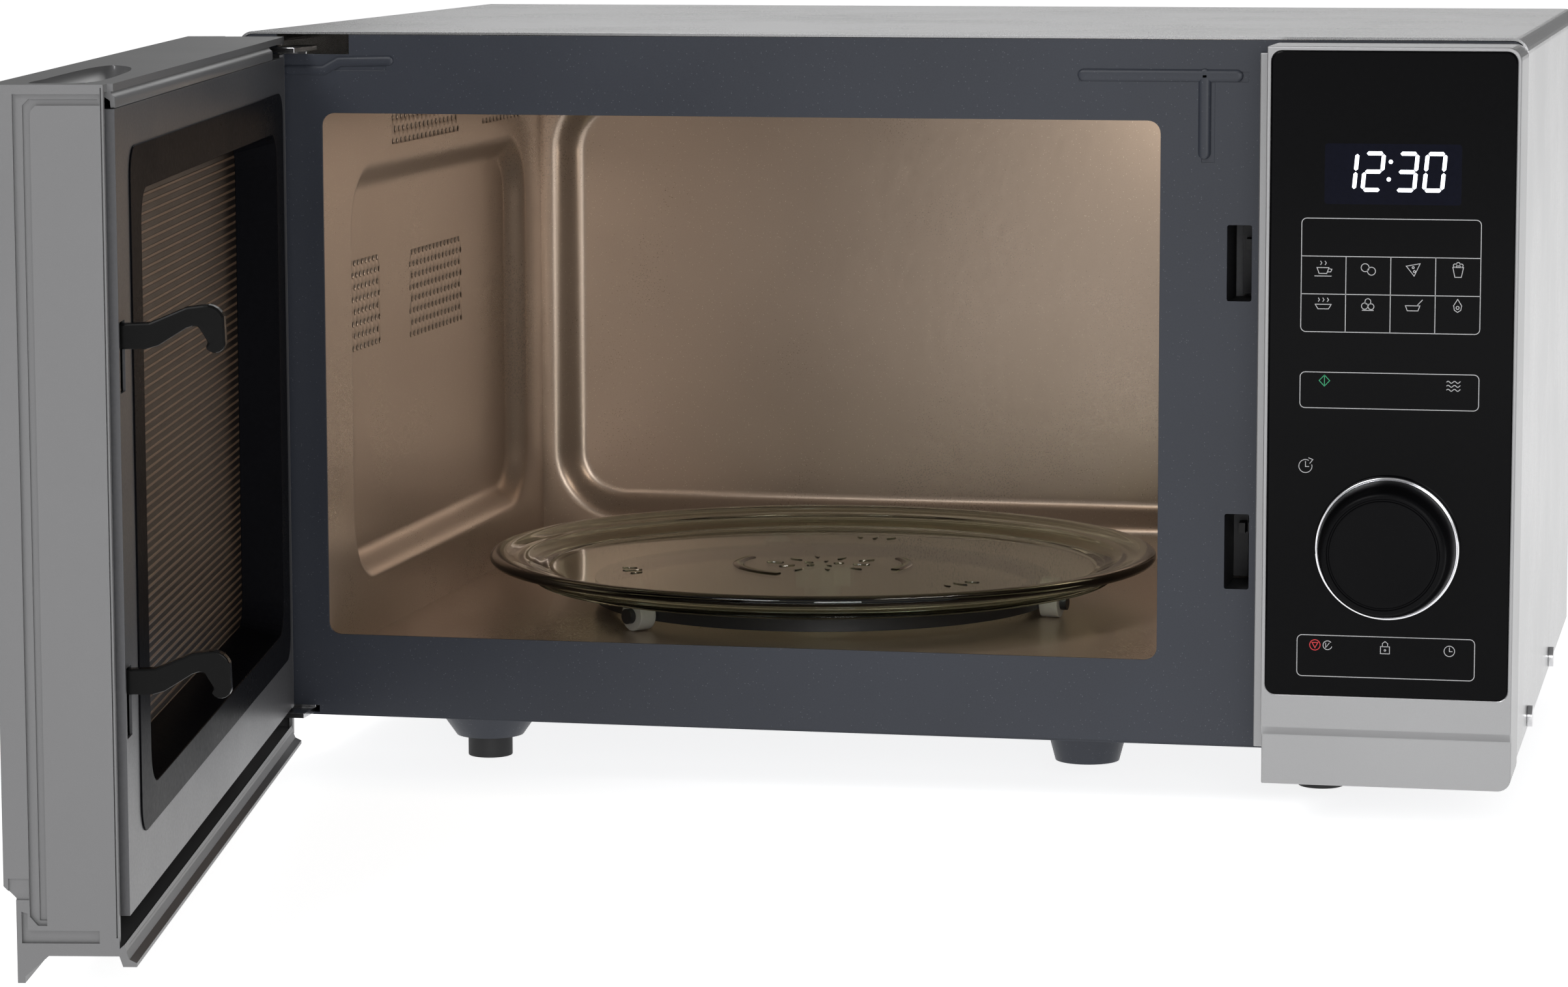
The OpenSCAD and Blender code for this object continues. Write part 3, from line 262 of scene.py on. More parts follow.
FINISH = {
    "cabinet_paint": surface("cabinet_paint", (0.42, 0.42, 0.425), 0.28, 0.85, 0.04, 0.05, 2600, 0.10),
    "zinc_plate": surface("zinc_plate", (0.60, 0.61, 0.63), 0.38, 1.0, 0.10, 0.10, 320, 0.12),
    "front_enamel": surface("front_enamel", (0.030, 0.034, 0.045), 0.40, 0.0, 0.12, 0.05, 1500, 0.08,
                            peel=0.10, peel_scale=240, speck=((0.085, 0.09, 0.105), 0.95),
                            speck_scale=1500, spec=0.35),
    "cavity_enamel": surface("cavity_enamel", (0.42, 0.33, 0.26), 0.30, 0.62, 0.05, 0.05, 1500, 0.08,
                             peel=0.07, peel_scale=160, speck=((0.62, 0.52, 0.42), 0.93), speck_scale=1500),
    "mica": surface("mica", (0.52, 0.50, 0.44), 0.45, 0.1, 0.16, 0.10, 260, 0.15),
    "foot_rubber": surface("foot_rubber", (0.016, 0.016, 0.017), 0.62, 0.0, 0.20, 0.08, 700, 0.25),
    "black_plastic": surface("black_plastic", (0.018, 0.018, 0.020), 0.42, 0.0, 0.15, 0.07, 1100, 0.20),
    "screw_steel": surface("screw_steel", (0.66, 0.66, 0.67), 0.20, 1.0, 0.06, 0.06, 800, 0.08),
    "magnet_steel": surface("magnet_steel", (0.58, 0.58, 0.60), 0.34, 1.0, 0.08, 0.08, 500, 0.10),
    "copper_anode": surface("copper_anode", (0.72, 0.36, 0.20), 0.30, 1.0, 0.10, 0.08, 420, 0.10),
    "filter_box": surface("filter_box", (0.64, 0.64, 0.66), 0.36, 1.0, 0.07, 0.08, 460, 0.10),
    "core_steel": surface("core_steel", (0.24, 0.24, 0.26), 0.48, 0.8, 0.16, 0.10, 300, 0.40,
                          streak=(1, 1, 9)),
    "enamelled_copper": surface("enamelled_copper", (0.42, 0.15, 0.05), 0.28, 0.6, 0.20, 0.08, 500, 0.5,
                                streak=(1, 1, 8)),
    "diode_epoxy": surface("diode_epoxy", (0.03, 0.03, 0.032), 0.38, 0.0, 0.15, 0.06, 700, 0.10),
    "fan_plastic": surface("fan_plastic", (0.30, 0.30, 0.31), 0.46, 0.0, 0.08, 0.06, 800, 0.12),
    "lamp_glass": surface("lamp_glass", (0.95, 0.93, 0.88), 0.08, 0.0, 0.02, 0.03, 300, 0.02, glass=0.9),
    "board_green": surface("board_green", (0.05, 0.22, 0.09), 0.40, 0.0, 0.16, 0.06, 500, 0.10),
    "grey_plastic": surface("grey_plastic", (0.045, 0.045, 0.048), 0.48, 0.0, 0.07, 0.06, 900, 0.12),
    "switch_plastic": surface("switch_plastic", (0.05, 0.05, 0.055), 0.40, 0.0, 0.14, 0.06, 900, 0.12),
    "plunger_plastic": surface("plunger_plastic", (0.035, 0.034, 0.035), 0.40, 0.0, 0.08, 0.06, 900, 0.10),
    "panel_silver": surface("panel_silver", (0.33, 0.33, 0.335), 0.32, 0.75, 0.04, 0.05, 2600, 0.10),
    "panel_gloss": surface("panel_gloss", (0.0022, 0.0022, 0.0026), 0.12, 0.0, 0.2, 0.03, 600, 0.02,
                           spec=0.06),
    "knob_black": surface("knob_black", (0.0035, 0.0035, 0.004), 0.32, 0.0, 0.2, 0.05, 1600, 0.10,
                          spec=0.05),
    "pale_plastic": surface("pale_plastic", (0.50, 0.49, 0.45), 0.42, 0.0, 0.06, 0.06, 800, 0.10),
    "tray_glass": surface("tray_glass", (0.72, 0.80, 0.66), 0.03, 0.0, 0.02, 0.01, 200, 0.0,
                          glass=1.0, ior=1.5),
    "door_silver": surface("door_silver", (0.165, 0.165, 0.168), 0.38, 0.40, 0.04, 0.05, 2600, 0.12),
    "door_glass": surface("door_glass", (0.003, 0.003, 0.0035), 0.07, 0.0, 0.2, 0.02, 300, 0.01, spec=0.25),
    "door_steel": surface("door_steel", (0.10, 0.10, 0.105), 0.36, 0.6, 0.08, 0.06, 900, 0.10),
    "choke_black": surface("choke_black", (0.004, 0.004, 0.005), 0.30, 0.0, 0.2, 0.05, 500, 0.05,
                           ior=1.2, spec=0.04),
    # The bronze level lines on mesh_black are painted highlight on the black coating.
    "mesh_black": painted_highlight_bands("mesh_black", (0.016, 0.012, 0.010), (0.17, 0.11, 0.072), 0.0032, 0.34, 0.5),
    "latch_black": surface("latch_black", (0.004, 0.004, 0.004), 0.22, 0.0, 0.2, 0.05, 500, 0.04,
                           ior=1.35, spec=0.14),
    "bush_acetal": surface("bush_acetal", (0.60, 0.60, 0.56), 0.40, 0.0, 0.05, 0.06, 700, 0.10),
}
CHROME = surface("bright_chrome", (0.80, 0.80, 0.82), 0.07, 1.0, 0.03, 0.03, 500, 0.02)
PRINT = surface("pale_print", (0.42, 0.42, 0.43), 0.5, 0.0, 0.08, 0.05, 1500, 0.05)
LIT = surface("display_white", (0.9, 0.93, 1.0), 0.4, 0.0, 0.02, 0.02, 900, 0.01,
              glow=((0.86, 0.91, 1.0), 1.6))
SHADE = surface("display_shade", (0.003, 0.0035, 0.009), 0.12, 0.0, 0.2, 0.03, 600, 0.02, spec=0.06)
GREEN = surface("print_green", (0.02, 0.30, 0.13), 0.5, 0.0, 0.08, 0.05, 1500, 0.05)
RED = surface("print_red", (0.55, 0.02, 0.03), 0.5, 0.0, 0.08, 0.05, 1500, 0.05)


# ---------------------------------------------------------------- carried-over CAD nodes
SLOT = {s["node"]: s["material_slot"] for s in frame["record"]["subparts"]}
# Width in mm of the bevel on the edges of nodes that show
ROUND = {"outer_cabinet": 0.6, "panel_housing": 0.8, "base_plate": 0.5, "latch_lever": 0.7,
         "choke_cover": 0.9, "door_frame": 0.4, "panel_window": 0.5, "front_plate": 0.25, "rubber_feet": 0.8,
         "hinge_brackets": 0.3, "case_screws": 0.3, "rear_spacers": 0.6, "cord_inlet": 0.4, "rear_panel": 0.3,
         "roller_ring": 0.4, "roller_1": 0.4, "roller_2": 0.4, "roller_3": 0.4, "drive_coupler": 0.4}


def finish_node(name, obj):
    obj.data.materials.clear()
    obj.data.materials.append(FINISH[SLOT[name]])
    weld = obj.modifiers.new("weld", "WELD")
    weld.merge_threshold = 0.000005
    if name in ROUND:
        flat = obj.modifiers.new("flat", "DECIMATE")
        flat.decimate_type = "DISSOLVE"
        flat.angle_limit = math.radians(0.6)
        edge = obj.modifiers.new("edge", "BEVEL")
        edge.width = ROUND[name] / 1000
        edge.segments = 2
        edge.limit_method = "ANGLE"
        edge.angle_limit = math.radians(32)
        edge.use_clamp_overlap = True
        even = obj.modifiers.new("even", "WEIGHTED_NORMAL")
        even.keep_sharp = True


for node_name, node_obj in frame["nodes"].items():
    finish_node(node_name, node_obj)


# ---------------------------------------------------------------- building pieces
def piece(name, verts, faces, body, mat, sharp=32, closed=True):
    """A new object from mesh data, riding on a body; edges turning by more than sharp degrees stay crisp."""
    mesh = bpy.data.meshes.new(name)
    mesh.from_pydata([tuple(v) for v in verts], [], faces)
    bm = bmesh.new()
    bm.from_mesh(mesh)
    bmesh.ops.remove_doubles(bm, verts=bm.verts, dist=2e-7)
    if closed:
        bmesh.ops.recalc_face_normals(bm, faces=bm.faces)
    bm.to_mesh(mesh)
    bm.free()
    mesh.materials.append(mat)
    mesh.polygons.foreach_set("use_smooth", [True] * len(mesh.polygons))
    mesh.set_sharp_from_angle(angle=math.radians(sharp))
    obj = bpy.data.objects.new(name, mesh)
    bpy.context.scene.collection.objects.link(obj)
    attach(obj, body)
    return obj


def round_rect(x0, x1, z0, z1, r, n=12):
    """Points of a rounded rectangle, n steps to each corner."""
    pts = []
    corners = ((x1 - r, z1 - r, 0), (x0 + r, z1 - r, 90), (x0 + r, z0 + r, 180), (x1 - r, z0 + r, 270))
    for cx, cz, a in corners:
        for i in range(n + 1):
            t = math.radians(a + 90 * i / n)
            pts.append((cx + r * math.cos(t), cz + r * math.sin(t)))
    return pts


def rect_gap(p, q, x0, x1, z0, z1, r):
    """How far (p, q) lies inside a rounded rectangle; less than 0 outside it."""
    u = abs(p - (x0 + x1) / 2) - ((x1 - x0) / 2 - r)
    v = abs(q - (z0 + z1) / 2) - ((z1 - z0) / 2 - r)
    return r - math.hypot(max(u, 0), max(v, 0)) - min(max(u, v), 0)


def filled(loops, keep):
    """Triangles of a flat region bounded by loops; keep says whether a middle point belongs to it."""
    pts, edges = [], []
    for loop in loops:
        k = len(pts)
        pts += [Vector(p) for p in loop]
        edges += [(k + i, k + (i + 1) % len(loop)) for i in range(len(loop))]
    co, _, tris, _, _, _ = delaunay_2d_cdt(pts, edges, [], 0, 1e-5)
    good = []
    for t in tris:
        c = sum((co[i] for i in t), Vector((0, 0))) / len(t)
        if keep(c.x, c.y):
            good.append(tuple(t))
    return [tuple(c) for c in co], good


def pressed_wall(outer, press, slope, depth, holes, hole_r, place):
    """Sheet with a soft-edged pressed panel and round holes: place(p, q, depth) gives the point."""
    x0, x1, z0, z1, r = press
    steps = 14
    loops = []
    for i in range(steps + 1):
        d = slope * i / steps
        t = i / steps
        h = depth * t * t * t * (t * (6 * t - 15) + 10)
        loops.append((h, round_rect(x0 + d, x1 - d, z0 + d, z1 - d, r - d)))
    verts, faces = [], []
    for h, pts in loops:
        verts += [place(p, q, h) for p, q in pts]
    n = len(loops[0][1])
    for i in range(steps):
        for j in range(n):
            a, b = i * n + j, i * n + (j + 1) % n
            faces.append((a, b, b + n, a + n))
    rings = []
    for c in holes:
        turns = [k * math.pi / 4 for k in range(8)]
        rings.append([(c[0] + hole_r * math.cos(t), c[1] + hole_r * math.sin(t)) for t in turns])
    inside = [c for c in holes if rect_gap(c[0], c[1], *press) > slope]

    def clear(p, q):
        return all((p - c[0]) ** 2 + (q - c[1]) ** 2 > (hole_r * 0.95) ** 2 for c in holes)

    for level, edges, keep in (
        (depth, [loops[-1][1]] + [k for k, c in zip(rings, holes) if c in inside],
         lambda p, q: rect_gap(p, q, *press) > slope and clear(p, q)),
        (0, [outer, loops[0][1]] + [k for k, c in zip(rings, holes) if c not in inside],
         lambda p, q: rect_gap(p, q, *press) < 0 and clear(p, q)),
    ):
        co, tris = filled(edges, keep)
        k = len(verts)
        verts += [place(p, q, level) for p, q in co]
        faces += [tuple(k + i for i in t) for t in tris]
    return verts, faces


def lathe(profile, place, n=96):
    """place(r, angle, h) gives the point; the profile's first and last points may lie on the axis."""
    verts, faces, rows = [], [], []
    for r, h in profile:
        if r < 1e-6:
            rows.append([len(verts)] * n)
            verts.append(place(0, 0, h))
        else:
            rows.append(list(range(len(verts), len(verts) + n)))
            verts += [place(r, 2 * math.pi * k / n, h) for k in range(n)]
    for a, b in zip(rows, rows[1:]):
        for k in range(n):
            f = [a[k], a[(k + 1) % n], b[(k + 1) % n], b[k]]
            f = [v for i, v in enumerate(f) if v not in f[:i]]
            if len(f) > 2:
                faces.append(tuple(f))
    return verts, faces


def curve_point(a, b, c, d, t):
    """The point a share t of the way from b to c on a Catmull-Rom curve."""
    square, cube = 2 * a - 5 * b + 4 * c - d, 3 * b - a - 3 * c + d
    return 0.5 * ((2 * b) + (c - a) * t + square * t * t + cube * t ** 3)


def smooth_line(pts, n=6):
    """Open smooth line through the points, with n steps from each to the next."""
    out = []
    for i in range(len(pts) - 1):
        a, b, c, d = (Vector(pts[max(0, min(len(pts) - 1, k))]) for k in (i - 1, i, i + 1, i + 2))
        out += [tuple(curve_point(a, b, c, d, k / n)) for k in range(n)]
    out.append(tuple(pts[-1]))
    return out


def slab(place, levels):
    """Closed plate through levels, each an (outline, height) pair with the same number of points."""
    verts, faces = [], []
    n = len(levels[0][0])
    for pts, h in levels:
        verts += [place(p, q, h) for p, q in pts]
    for i in range(len(levels) - 1):
        for j in range(n):
            a, b = i * n + j, i * n + (j + 1) % n
            faces.append((a, b, b + n, a + n))
    faces.append(tuple(range(n - 1, -1, -1)))
    faces.append(tuple(range((len(levels) - 1) * n, len(levels) * n)))
    return verts, faces


def stroke(paths, width, place, h0, h1):
    """Flat lines along paths, each (points, closed), as thin closed strips."""
    verts, faces = [], []
    for pts, closed in paths:
        pts = [Vector(p) for p in pts]
        n = len(pts)
        left, right = [], []
        for i, p in enumerate(pts):
            a = pts[i - 1] if (i or closed) else None
            b = pts[(i + 1) % n] if (i < n - 1 or closed) else None
            u = (p - a).normalized() if a is not None else (b - p).normalized()
            v = (b - p).normalized() if b is not None else u
            t = (u + v).normalized() if (u + v).length > 1e-6 else u
            k = max(0.5, t.dot(u))
            s = Vector((-t.y, t.x)) * (width / 2 / k)
            left.append(p + s)
            right.append(p - s)
        k = len(verts)
        for h in (h0, h1):
            verts += [place(q.x, q.y, h) for q in left] + [place(q.x, q.y, h) for q in right]
        m = n if closed else n - 1
        for i in range(m):
            j = (i + 1) % n
            l0, l1, r0, r1 = k + i, k + j, k + n + i, k + n + j
            o = 2 * n
            faces += [(l0, l1, r1, r0), (l0 + o, r0 + o, r1 + o, l1 + o)]
            faces += [(l0, l0 + o, l1 + o, l1), (r0, r1, r1 + o, r0 + o)]
        if not closed:
            for i in (0, n - 1):
                faces.append((k + i, k + n + i, k + 3 * n + i, k + 2 * n + i))
    return verts, faces


# ---------------------------------------------------------------- cavity
WALL_T = 0.8
HOLE_R = 1.45
# Blocks of air holes in the left wall: from and to, counted from its front edge, from and to, counted
# up from its foot, columns and rows
AIR_HOLES = [(53, 102, 119, 154.5, 10, 8), (148.5, 229, 117, 152.5, 15, 8), (98, 198.5, 203.5, 213.5, 17, 3),
             (240, 300, 204.5, 209.5, 11, 2)]


def hole_rows(y0, y1, z0, z1, cols, rows):
    """Middles of rows of holes, each second row set half a step along and one hole shorter."""
    step = (y1 - y0) / (cols - 1)
    rise = (z1 - z0) / max(1, rows - 1)
    middles = []
    for r in range(rows):
        middles += [(y0 + step * (c + 0.5 * (r % 2)), z0 + rise * r) for c in range(cols - r % 2)]
    return middles


def left_wall():
    low, high = box_mm("cavity_left_wall")
    holes = []
    for y0, y1, z0, z1, cols, rows in AIR_HOLES:
        holes += hole_rows(low.y + y0, low.y + y1, low.z + z0, low.z + z1, cols, rows)
    outer = [(low.y, low.z), (high.y, low.z), (high.y, high.z), (low.y, high.z)]
    press = (low.y + 35, high.y - 26, low.z + 22, high.z - 26, 30)
    verts, faces = pressed_wall(outer, press, 14, 8, holes, HOLE_R, lambda p, q, h: point(high.x - h, p, q))
    return piece("left_wall_skin", verts, faces, "chassis", FINISH["cavity_enamel"],
                 closed=False)


def back_wall():
    low, high = box_mm("cavity_back_wall")
    x0, x1, z0, z1 = low.x + 1, high.x - 1, low.z + 1, high.z - 1
    outer = [(x0, z0), (x1, z0), (x1, z1), (x0, z1)]
    press = (x0 + 4, x1 - 4, z0 + 10, z1 - 4, 34)
    verts, faces = pressed_wall(outer, press, 16, 9, [], 1, lambda p, q, h: point(p, low.y + h, q))
    return piece("back_wall_skin", verts, faces, "chassis", FINISH["cavity_enamel"],
                 closed=False)


def face_away(obj, direction):
    """Turns a one-sided sheet over if it faces along direction."""
    normal = sum((p.normal * p.area for p in obj.data.polygons), Vector())
    if normal.dot(Vector(direction)) > 0:
        obj.data.flip_normals()


def thicken(obj, mm, towards):
    """Gives a one-sided sheet its thickness, on the side that towards points to."""
    face_away(obj, towards)
    sheet = obj.modifiers.new("thickness", "SOLIDIFY")
    sheet.thickness = mm / 1000
    sheet.offset = -1
    even = obj.modifiers.new("even", "WEIGHTED_NORMAL")
    even.keep_sharp = True


left = left_wall()
thicken(left, WALL_T, (-1, 0, 0))
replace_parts(left, "cavity_left_wall")
back = back_wall()
thicken(back, WALL_T, (0, 1, 0))
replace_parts(back, "cavity_back_wall")


# ---------------------------------------------------------------- front plate's pressed beads
def bead(name, paths, width, height):
    """Raised bead with a soft section, along paths on the front plate."""
    verts, faces = [], []
    section = [(-1, 0), (-0.86, 0.45), (-0.62, 0.9), (-0.3, 1), (0.3, 1), (0.62, 0.9), (0.86, 0.45), (1, 0)]
    for pts in paths:
        pts = [Vector(p) for p in pts]
        k0 = len(verts)
        a, b = (pts[1] - pts[0]).normalized(), (pts[-1] - pts[-2]).normalized()
        spine = []
        for k in range(9):
            t = math.radians(90 * k / 9)
            spine.append((pts[0] - a * (width / 2) * math.cos(t), a, math.sin(t)))
        for i, p in enumerate(pts):
            u = (p - pts[i - 1]).normalized() if i else a
            v = (pts[i + 1] - p).normalized() if i < len(pts) - 1 else b
            t = (u + v).normalized()
            spine.append((p, t, 1 / max(0.6, t.dot(u))))
        for k in range(8, -1, -1):
            t = math.radians(90 * k / 9)
            spine.append((pts[-1] + b * (width / 2) * math.cos(t), b, math.sin(t)))
        for p, t, w in spine:
            s = Vector((-t.y, t.x)) * (width / 2)
            for q, h in section:
                c = p + s * q * w
                verts.append(point(c.x, 0.05 - height * h * min(1, w) ** 0.5, c.y))
        m = len(section)
        for i in range(len(spine) - 1):
            for j in range(m - 1):
                x = k0 + i * m + j
                faces.append((x, x + 1, x + m + 1, x + m))
    ridge = piece(name, verts, faces, "chassis", FINISH["front_enamel"], closed=False)
    face_away(ridge, (0, 1, 0))


BEAD_Z = box_mm("front_plate")[1].z - 13.8
BEAD_H = 0.9
T_BAR = [(86, BEAD_Z), (145.3, BEAD_Z)]
T_LEG = [(133, BEAD_Z + 0.2), (133, BEAD_Z - 29.7)]
CORNER = [(-236, BEAD_Z - 0.4), (-221, BEAD_Z - 0.4), (-214.5, BEAD_Z + 3.2), (-194, BEAD_Z + 3.6)]
bead("plate_bead_t", [T_BAR, T_LEG], 5.0, BEAD_H)
bead("plate_bead_corner", [CORNER], 4.2, BEAD_H)


# ---------------------------------------------------------------- glass tray
TRAY = axis_mm("turntable_spin")
TRAY_FOOT = box_mm("glass_tray")[0].z


def on_tray(x, y, h):
    """x and y mm from the tray's axis, h mm above its underside."""
    return point(TRAY[0] + x, TRAY[1] + y, TRAY_FOOT + h)


def tray():
    top = smooth_line([(0, 5), (60, 5), (112, 5.05), (119, 5.6), (124.5, 7.5), (128.5, 9.3), (131.5, 9.8),
                       (134.5, 10.6), (138.5, 11.8), (141.5, 11.9), (143.6, 10.8), (144.0, 9.2)], 5)
    low = smooth_line([(143.2, 7.9), (140.2, 7.3), (136.0, 6.3), (131.0, 5.1), (127.0, 3.3), (123.5, 0.9),
                       (119.5, 0.1), (60, 0), (0, 0)], 5)
    verts, faces = lathe(top + low, lambda r, a, h: on_tray(r * math.cos(a), r * math.sin(a), h), 160)
    return piece("glass_tray_skin", verts, faces, "turntable", FINISH["tray_glass"], sharp=50)


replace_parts(tray(), "glass_tray")


def tray_marks():
    """Low bars and arcs moulded on the tray's upper face, their feet just inside the glass."""
    verts, faces = [], []

    def bar(r, a, length, width, turn=0.0):
        cx, cy = r * math.cos(a), r * math.sin(a)
        d = Vector((math.cos(a + turn), math.sin(a + turn)))
        s = Vector((-d.y, d.x))
        k = len(verts)
        for h, e in ((4.9, 0), (5.45, 0.5)):
            for i in range(10):
                t = 2 * math.pi * i / 10
                q = Vector((cx, cy)) + d * (length / 2 - e) * math.cos(t)
                q += s * (width / 2 - e * 0.6) * math.sin(t)
                verts.append(on_tray(q.x, q.y, h))
        for i in range(10):
            faces.append((k + i, k + (i + 1) % 10, k + 10 + (i + 1) % 10, k + 10 + i))
        faces.append(tuple(k + 10 + i for i in range(10)))
        faces.append(tuple(k + i for i in range(9, -1, -1)))

    def arc(r0, r1, a0, a1, n=24):
        k = len(verts)
        rows = ((r0, 4.9), (r0 + 0.6, 5.5), (r1 - 0.6, 5.5), (r1, 4.9))
        for r, h in rows:
            for i in range(n + 1):
                t = math.radians(a0 + (a1 - a0) * i / n)
                verts.append(on_tray(r * math.cos(t), r * math.sin(t), h))
        m = n + 1
        for j in range(4):
            for i in range(n):
                a, b = k + j * m + i, k + ((j + 1) % 4) * m + i
                faces.append((a, a + 1, b + 1, b))
        faces.append(tuple(k + j * m for j in range(4)))
        faces.append(tuple(k + j * m + n for j in (3, 2, 1, 0)))

    for i in range(10):
        bar(17 + 4 * (i % 2), 2 * math.pi * i / 10, 8, 2.4)
    for i in range(5):
        bar(7, 2 * math.pi * i / 5 + 0.3, 5, 2.0)
    arc(34, 39, 160, 250)
    arc(34, 39, -20, 35)
    for a in (205, 325, 85):
        for k in (-1, 0, 1):
            bar(84, math.radians(a + 5 * k), 9 - 2 * abs(k), 2.6, 0.35 * k)
    piece("tray_marks", verts, faces, "turntable", FINISH["tray_glass"], sharp=50)


tray_marks()


# ---------------------------------------------------------------- jog dial
KNOB = axis_mm("knob_turn")
PANEL_FACE = box_mm("panel_window")[0].y


def on_knob(r, angle, h):
    """r mm from the dial's axis, at angle round it, h mm out from the panel window's face."""
    return point(KNOB[0] + r * math.cos(angle), PANEL_FACE - h, KNOB[2] + r * math.sin(angle))


def knob():
    body = ([(0, 0.4), (26.2, 0.4), (26.3, 3.0)]
            + smooth_line([(26.2, 3.2), (25.7, 7.5), (24.9, 13), (23.9, 17.6)], 4)
            + smooth_line([(23.6, 18.8), (23.0, 19.8), (22.0, 20.2)], 4)
            + [(21.3, 20.2), (20.9, 19.7), (20.5, 19.7), (20.1, 20.15)]
            + smooth_line([(19.6, 20.2), (12, 19.9), (0, 19.7)], 4))
    verts, faces = lathe(body, on_knob, 128)
    cap = piece("jog_knob_skin", verts, faces, "knob", FINISH["knob_black"], sharp=40)
    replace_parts(cap, "jog_knob")
    ring = ([(26.25, 0.45)] + smooth_line([(27.5, 0.6), (27.6, 2.0), (27.1, 3.2), (26.6, 3.3)], 3)
            + smooth_line([(26.45, 2.9), (26.3, 3.0), (26.3, 4.2), (26.0, 4.9), (25.9, 4.4)], 3)
            + [(25.9, 0.45), (26.25, 0.45)])
    verts, faces = lathe(ring, on_knob, 128)
    piece("knob_trim_ring", verts, faces, "knob", CHROME, sharp=40)


knob()


# ---------------------------------------------------------------- panel window's print
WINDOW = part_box("panel_window")
PRINT_T = (-0.05, 0.06)     # print starts just inside the window's face and stands this far out of it
KEY_X, KEY_W = 12.0, 67.2   # left edge and width of the boxes round the keys
GRID_Y, ROW_H = 62.7, 14.3  # top of the grid of programs and height of its rows
START_Y, START_H = 120.9, 13.6
STOP_Y, STOP_H = 221.5, 15.8
FIRST_ROW, SECOND_ROW = 82.0, 95.4
LINE_W, ICON_W, STOP_W = 0.28, 0.27, 0.3
KEY_COLS = [KEY_X + KEY_W / 4 * (c + 0.5) for c in range(4)]


def on_window(u, v, h):
    """u mm from the window's left edge, v mm up from its top edge, h mm out of its face."""
    return Vector((WINDOW[0].x + u / 1000, WINDOW[0].y - h / 1000, WINDOW[1].z + v / 1000))


def key_box(top, height, r=1.9):
    return (round_rect(KEY_X, KEY_X + KEY_W, -top - height, -top, r, 6), True)


def circle(x, y, r, start=0, end=360, n=18):
    """A path round (x, y), closed when it goes all the way."""
    whole = end - start >= 360
    turns = [math.radians(start + (end - start) * i / n) for i in range(n if whole else n + 1)]
    return ([(x + r * math.cos(t), y + r * math.sin(t)) for t in turns], whole)


def ring_of(*pts):
    """A closed path through the points."""
    return (list(pts), True)


def line(*pts):
    """An open path through the points."""
    return (list(pts), False)


def steam(x, y=1.2):
    return line((x, y), (x + 0.5, y + 0.75), (x, y + 1.5))


def wave(y):
    return line(*[(-2.6 + 0.4 * k, y + 0.4 * math.sin(k * math.pi / 3)) for k in range(14)])


# Generic pictures, each a list of paths in mm from its own middle, up being positive
ICONS = {
    "cup": [ring_of((-2.5, 0.7), (-1.7, -1.5), (1.2, -1.5), (2.0, 0.7)), line((-3.4, -2.5), (3.0, -2.5)),
            line((1.9, 0.3), (3.1, 0.1), (2.7, -0.9), (1.5, -0.9)), steam(-1.2, 1.7), steam(0.5, 1.7)],
    "roots": [circle(-1.2, 0.9, 1.5), circle(1.2, -0.4, 1.5)],
    "slice": [ring_of((-2.6, 1.7), (2.6, 2.7), (0.4, -2.0)), circle(0, 1.2, 0.4, n=8),
              circle(0.5, -0.3, 0.4, n=8)],
    "tub": [ring_of((-2, 1.5), (-1.2, -2.2), (1.2, -2.2), (2, 1.5)), circle(-1.2, 2.2, 0.65, n=8),
            circle(0, 2.7, 0.7, n=8), circle(1.2, 2.2, 0.65, n=8)],
    "bowl": [ring_of((-3, 0.2), (3, 0.2), (2, -1.5), (-2, -1.5)), steam(-1.9), steam(-0.2), steam(1.5)],
    "greens": [circle(-1.2, -0.2, 1.2), circle(1.2, -0.4, 1.1), circle(0, 1.5, 1.1),
               line((-2.2, -1.8), (2.2, -1.8))],
    "pan": [ring_of((-2.7, 0.2), (2.7, 0.2), (2, -1.7), (-2, -1.7)), line((1.8, 0.5), (3.7, 2.5))],
    "drop": [ring_of((0, 2.9), (-1.5, 0.5), (-1.2, -1.2), (0, -2), (1.2, -1.2), (1.5, 0.5)),
             circle(0, -0.3, 0.6, n=8)],
    "waves": [wave(1.3), wave(-0.2), wave(-1.7)],
    "timer": [circle(0, 0, 2.5, 60, 375, 24), line((0, 1.9), (0, -0.2), (1.4, -0.2)),
              line((1.1, 3.2), (2.8, 2.5), (1.6, 1.0))],
    "saver": [circle(0, 0, 1.7, 40, 345), line((-0.7, 0.9), (-0.7, -0.9), (0.7, 0.9))],
    "lock": [ring_of((-1.7, 1), (1.7, 1), (1.7, -1.7), (-1.7, -1.7)),
             line((-1, 1), (-1, 2.2), (0, 3), (1, 2.2), (1, 1)), circle(0, -0.4, 0.32, n=8)],
    "clock": [circle(0, 0, 2.0), line((0, 1.5), (0, -0.1), (1.2, -0.1))],
    "start": [ring_of((0, 2.1), (2, 0), (0, -2.1), (-2, 0)), line((0, 2.1), (0, -2.1))],
    "stop": [circle(0, 0, 2.0), ring_of((-1.1, 0.9), (1.1, 0.9), (0, -1.1))],
}


def icon(name, u, v):
    """An icon's paths with its middle u mm from the window's left edge and v mm down from its top."""
    return [([(u + x, y - v) for x, y in pts], closed) for pts, closed in ICONS[name]]


def print_piece(name, paths, width, mat):
    verts, faces = stroke(paths, width, on_window, *PRINT_T)
    piece(name, verts, faces, "chassis", mat)


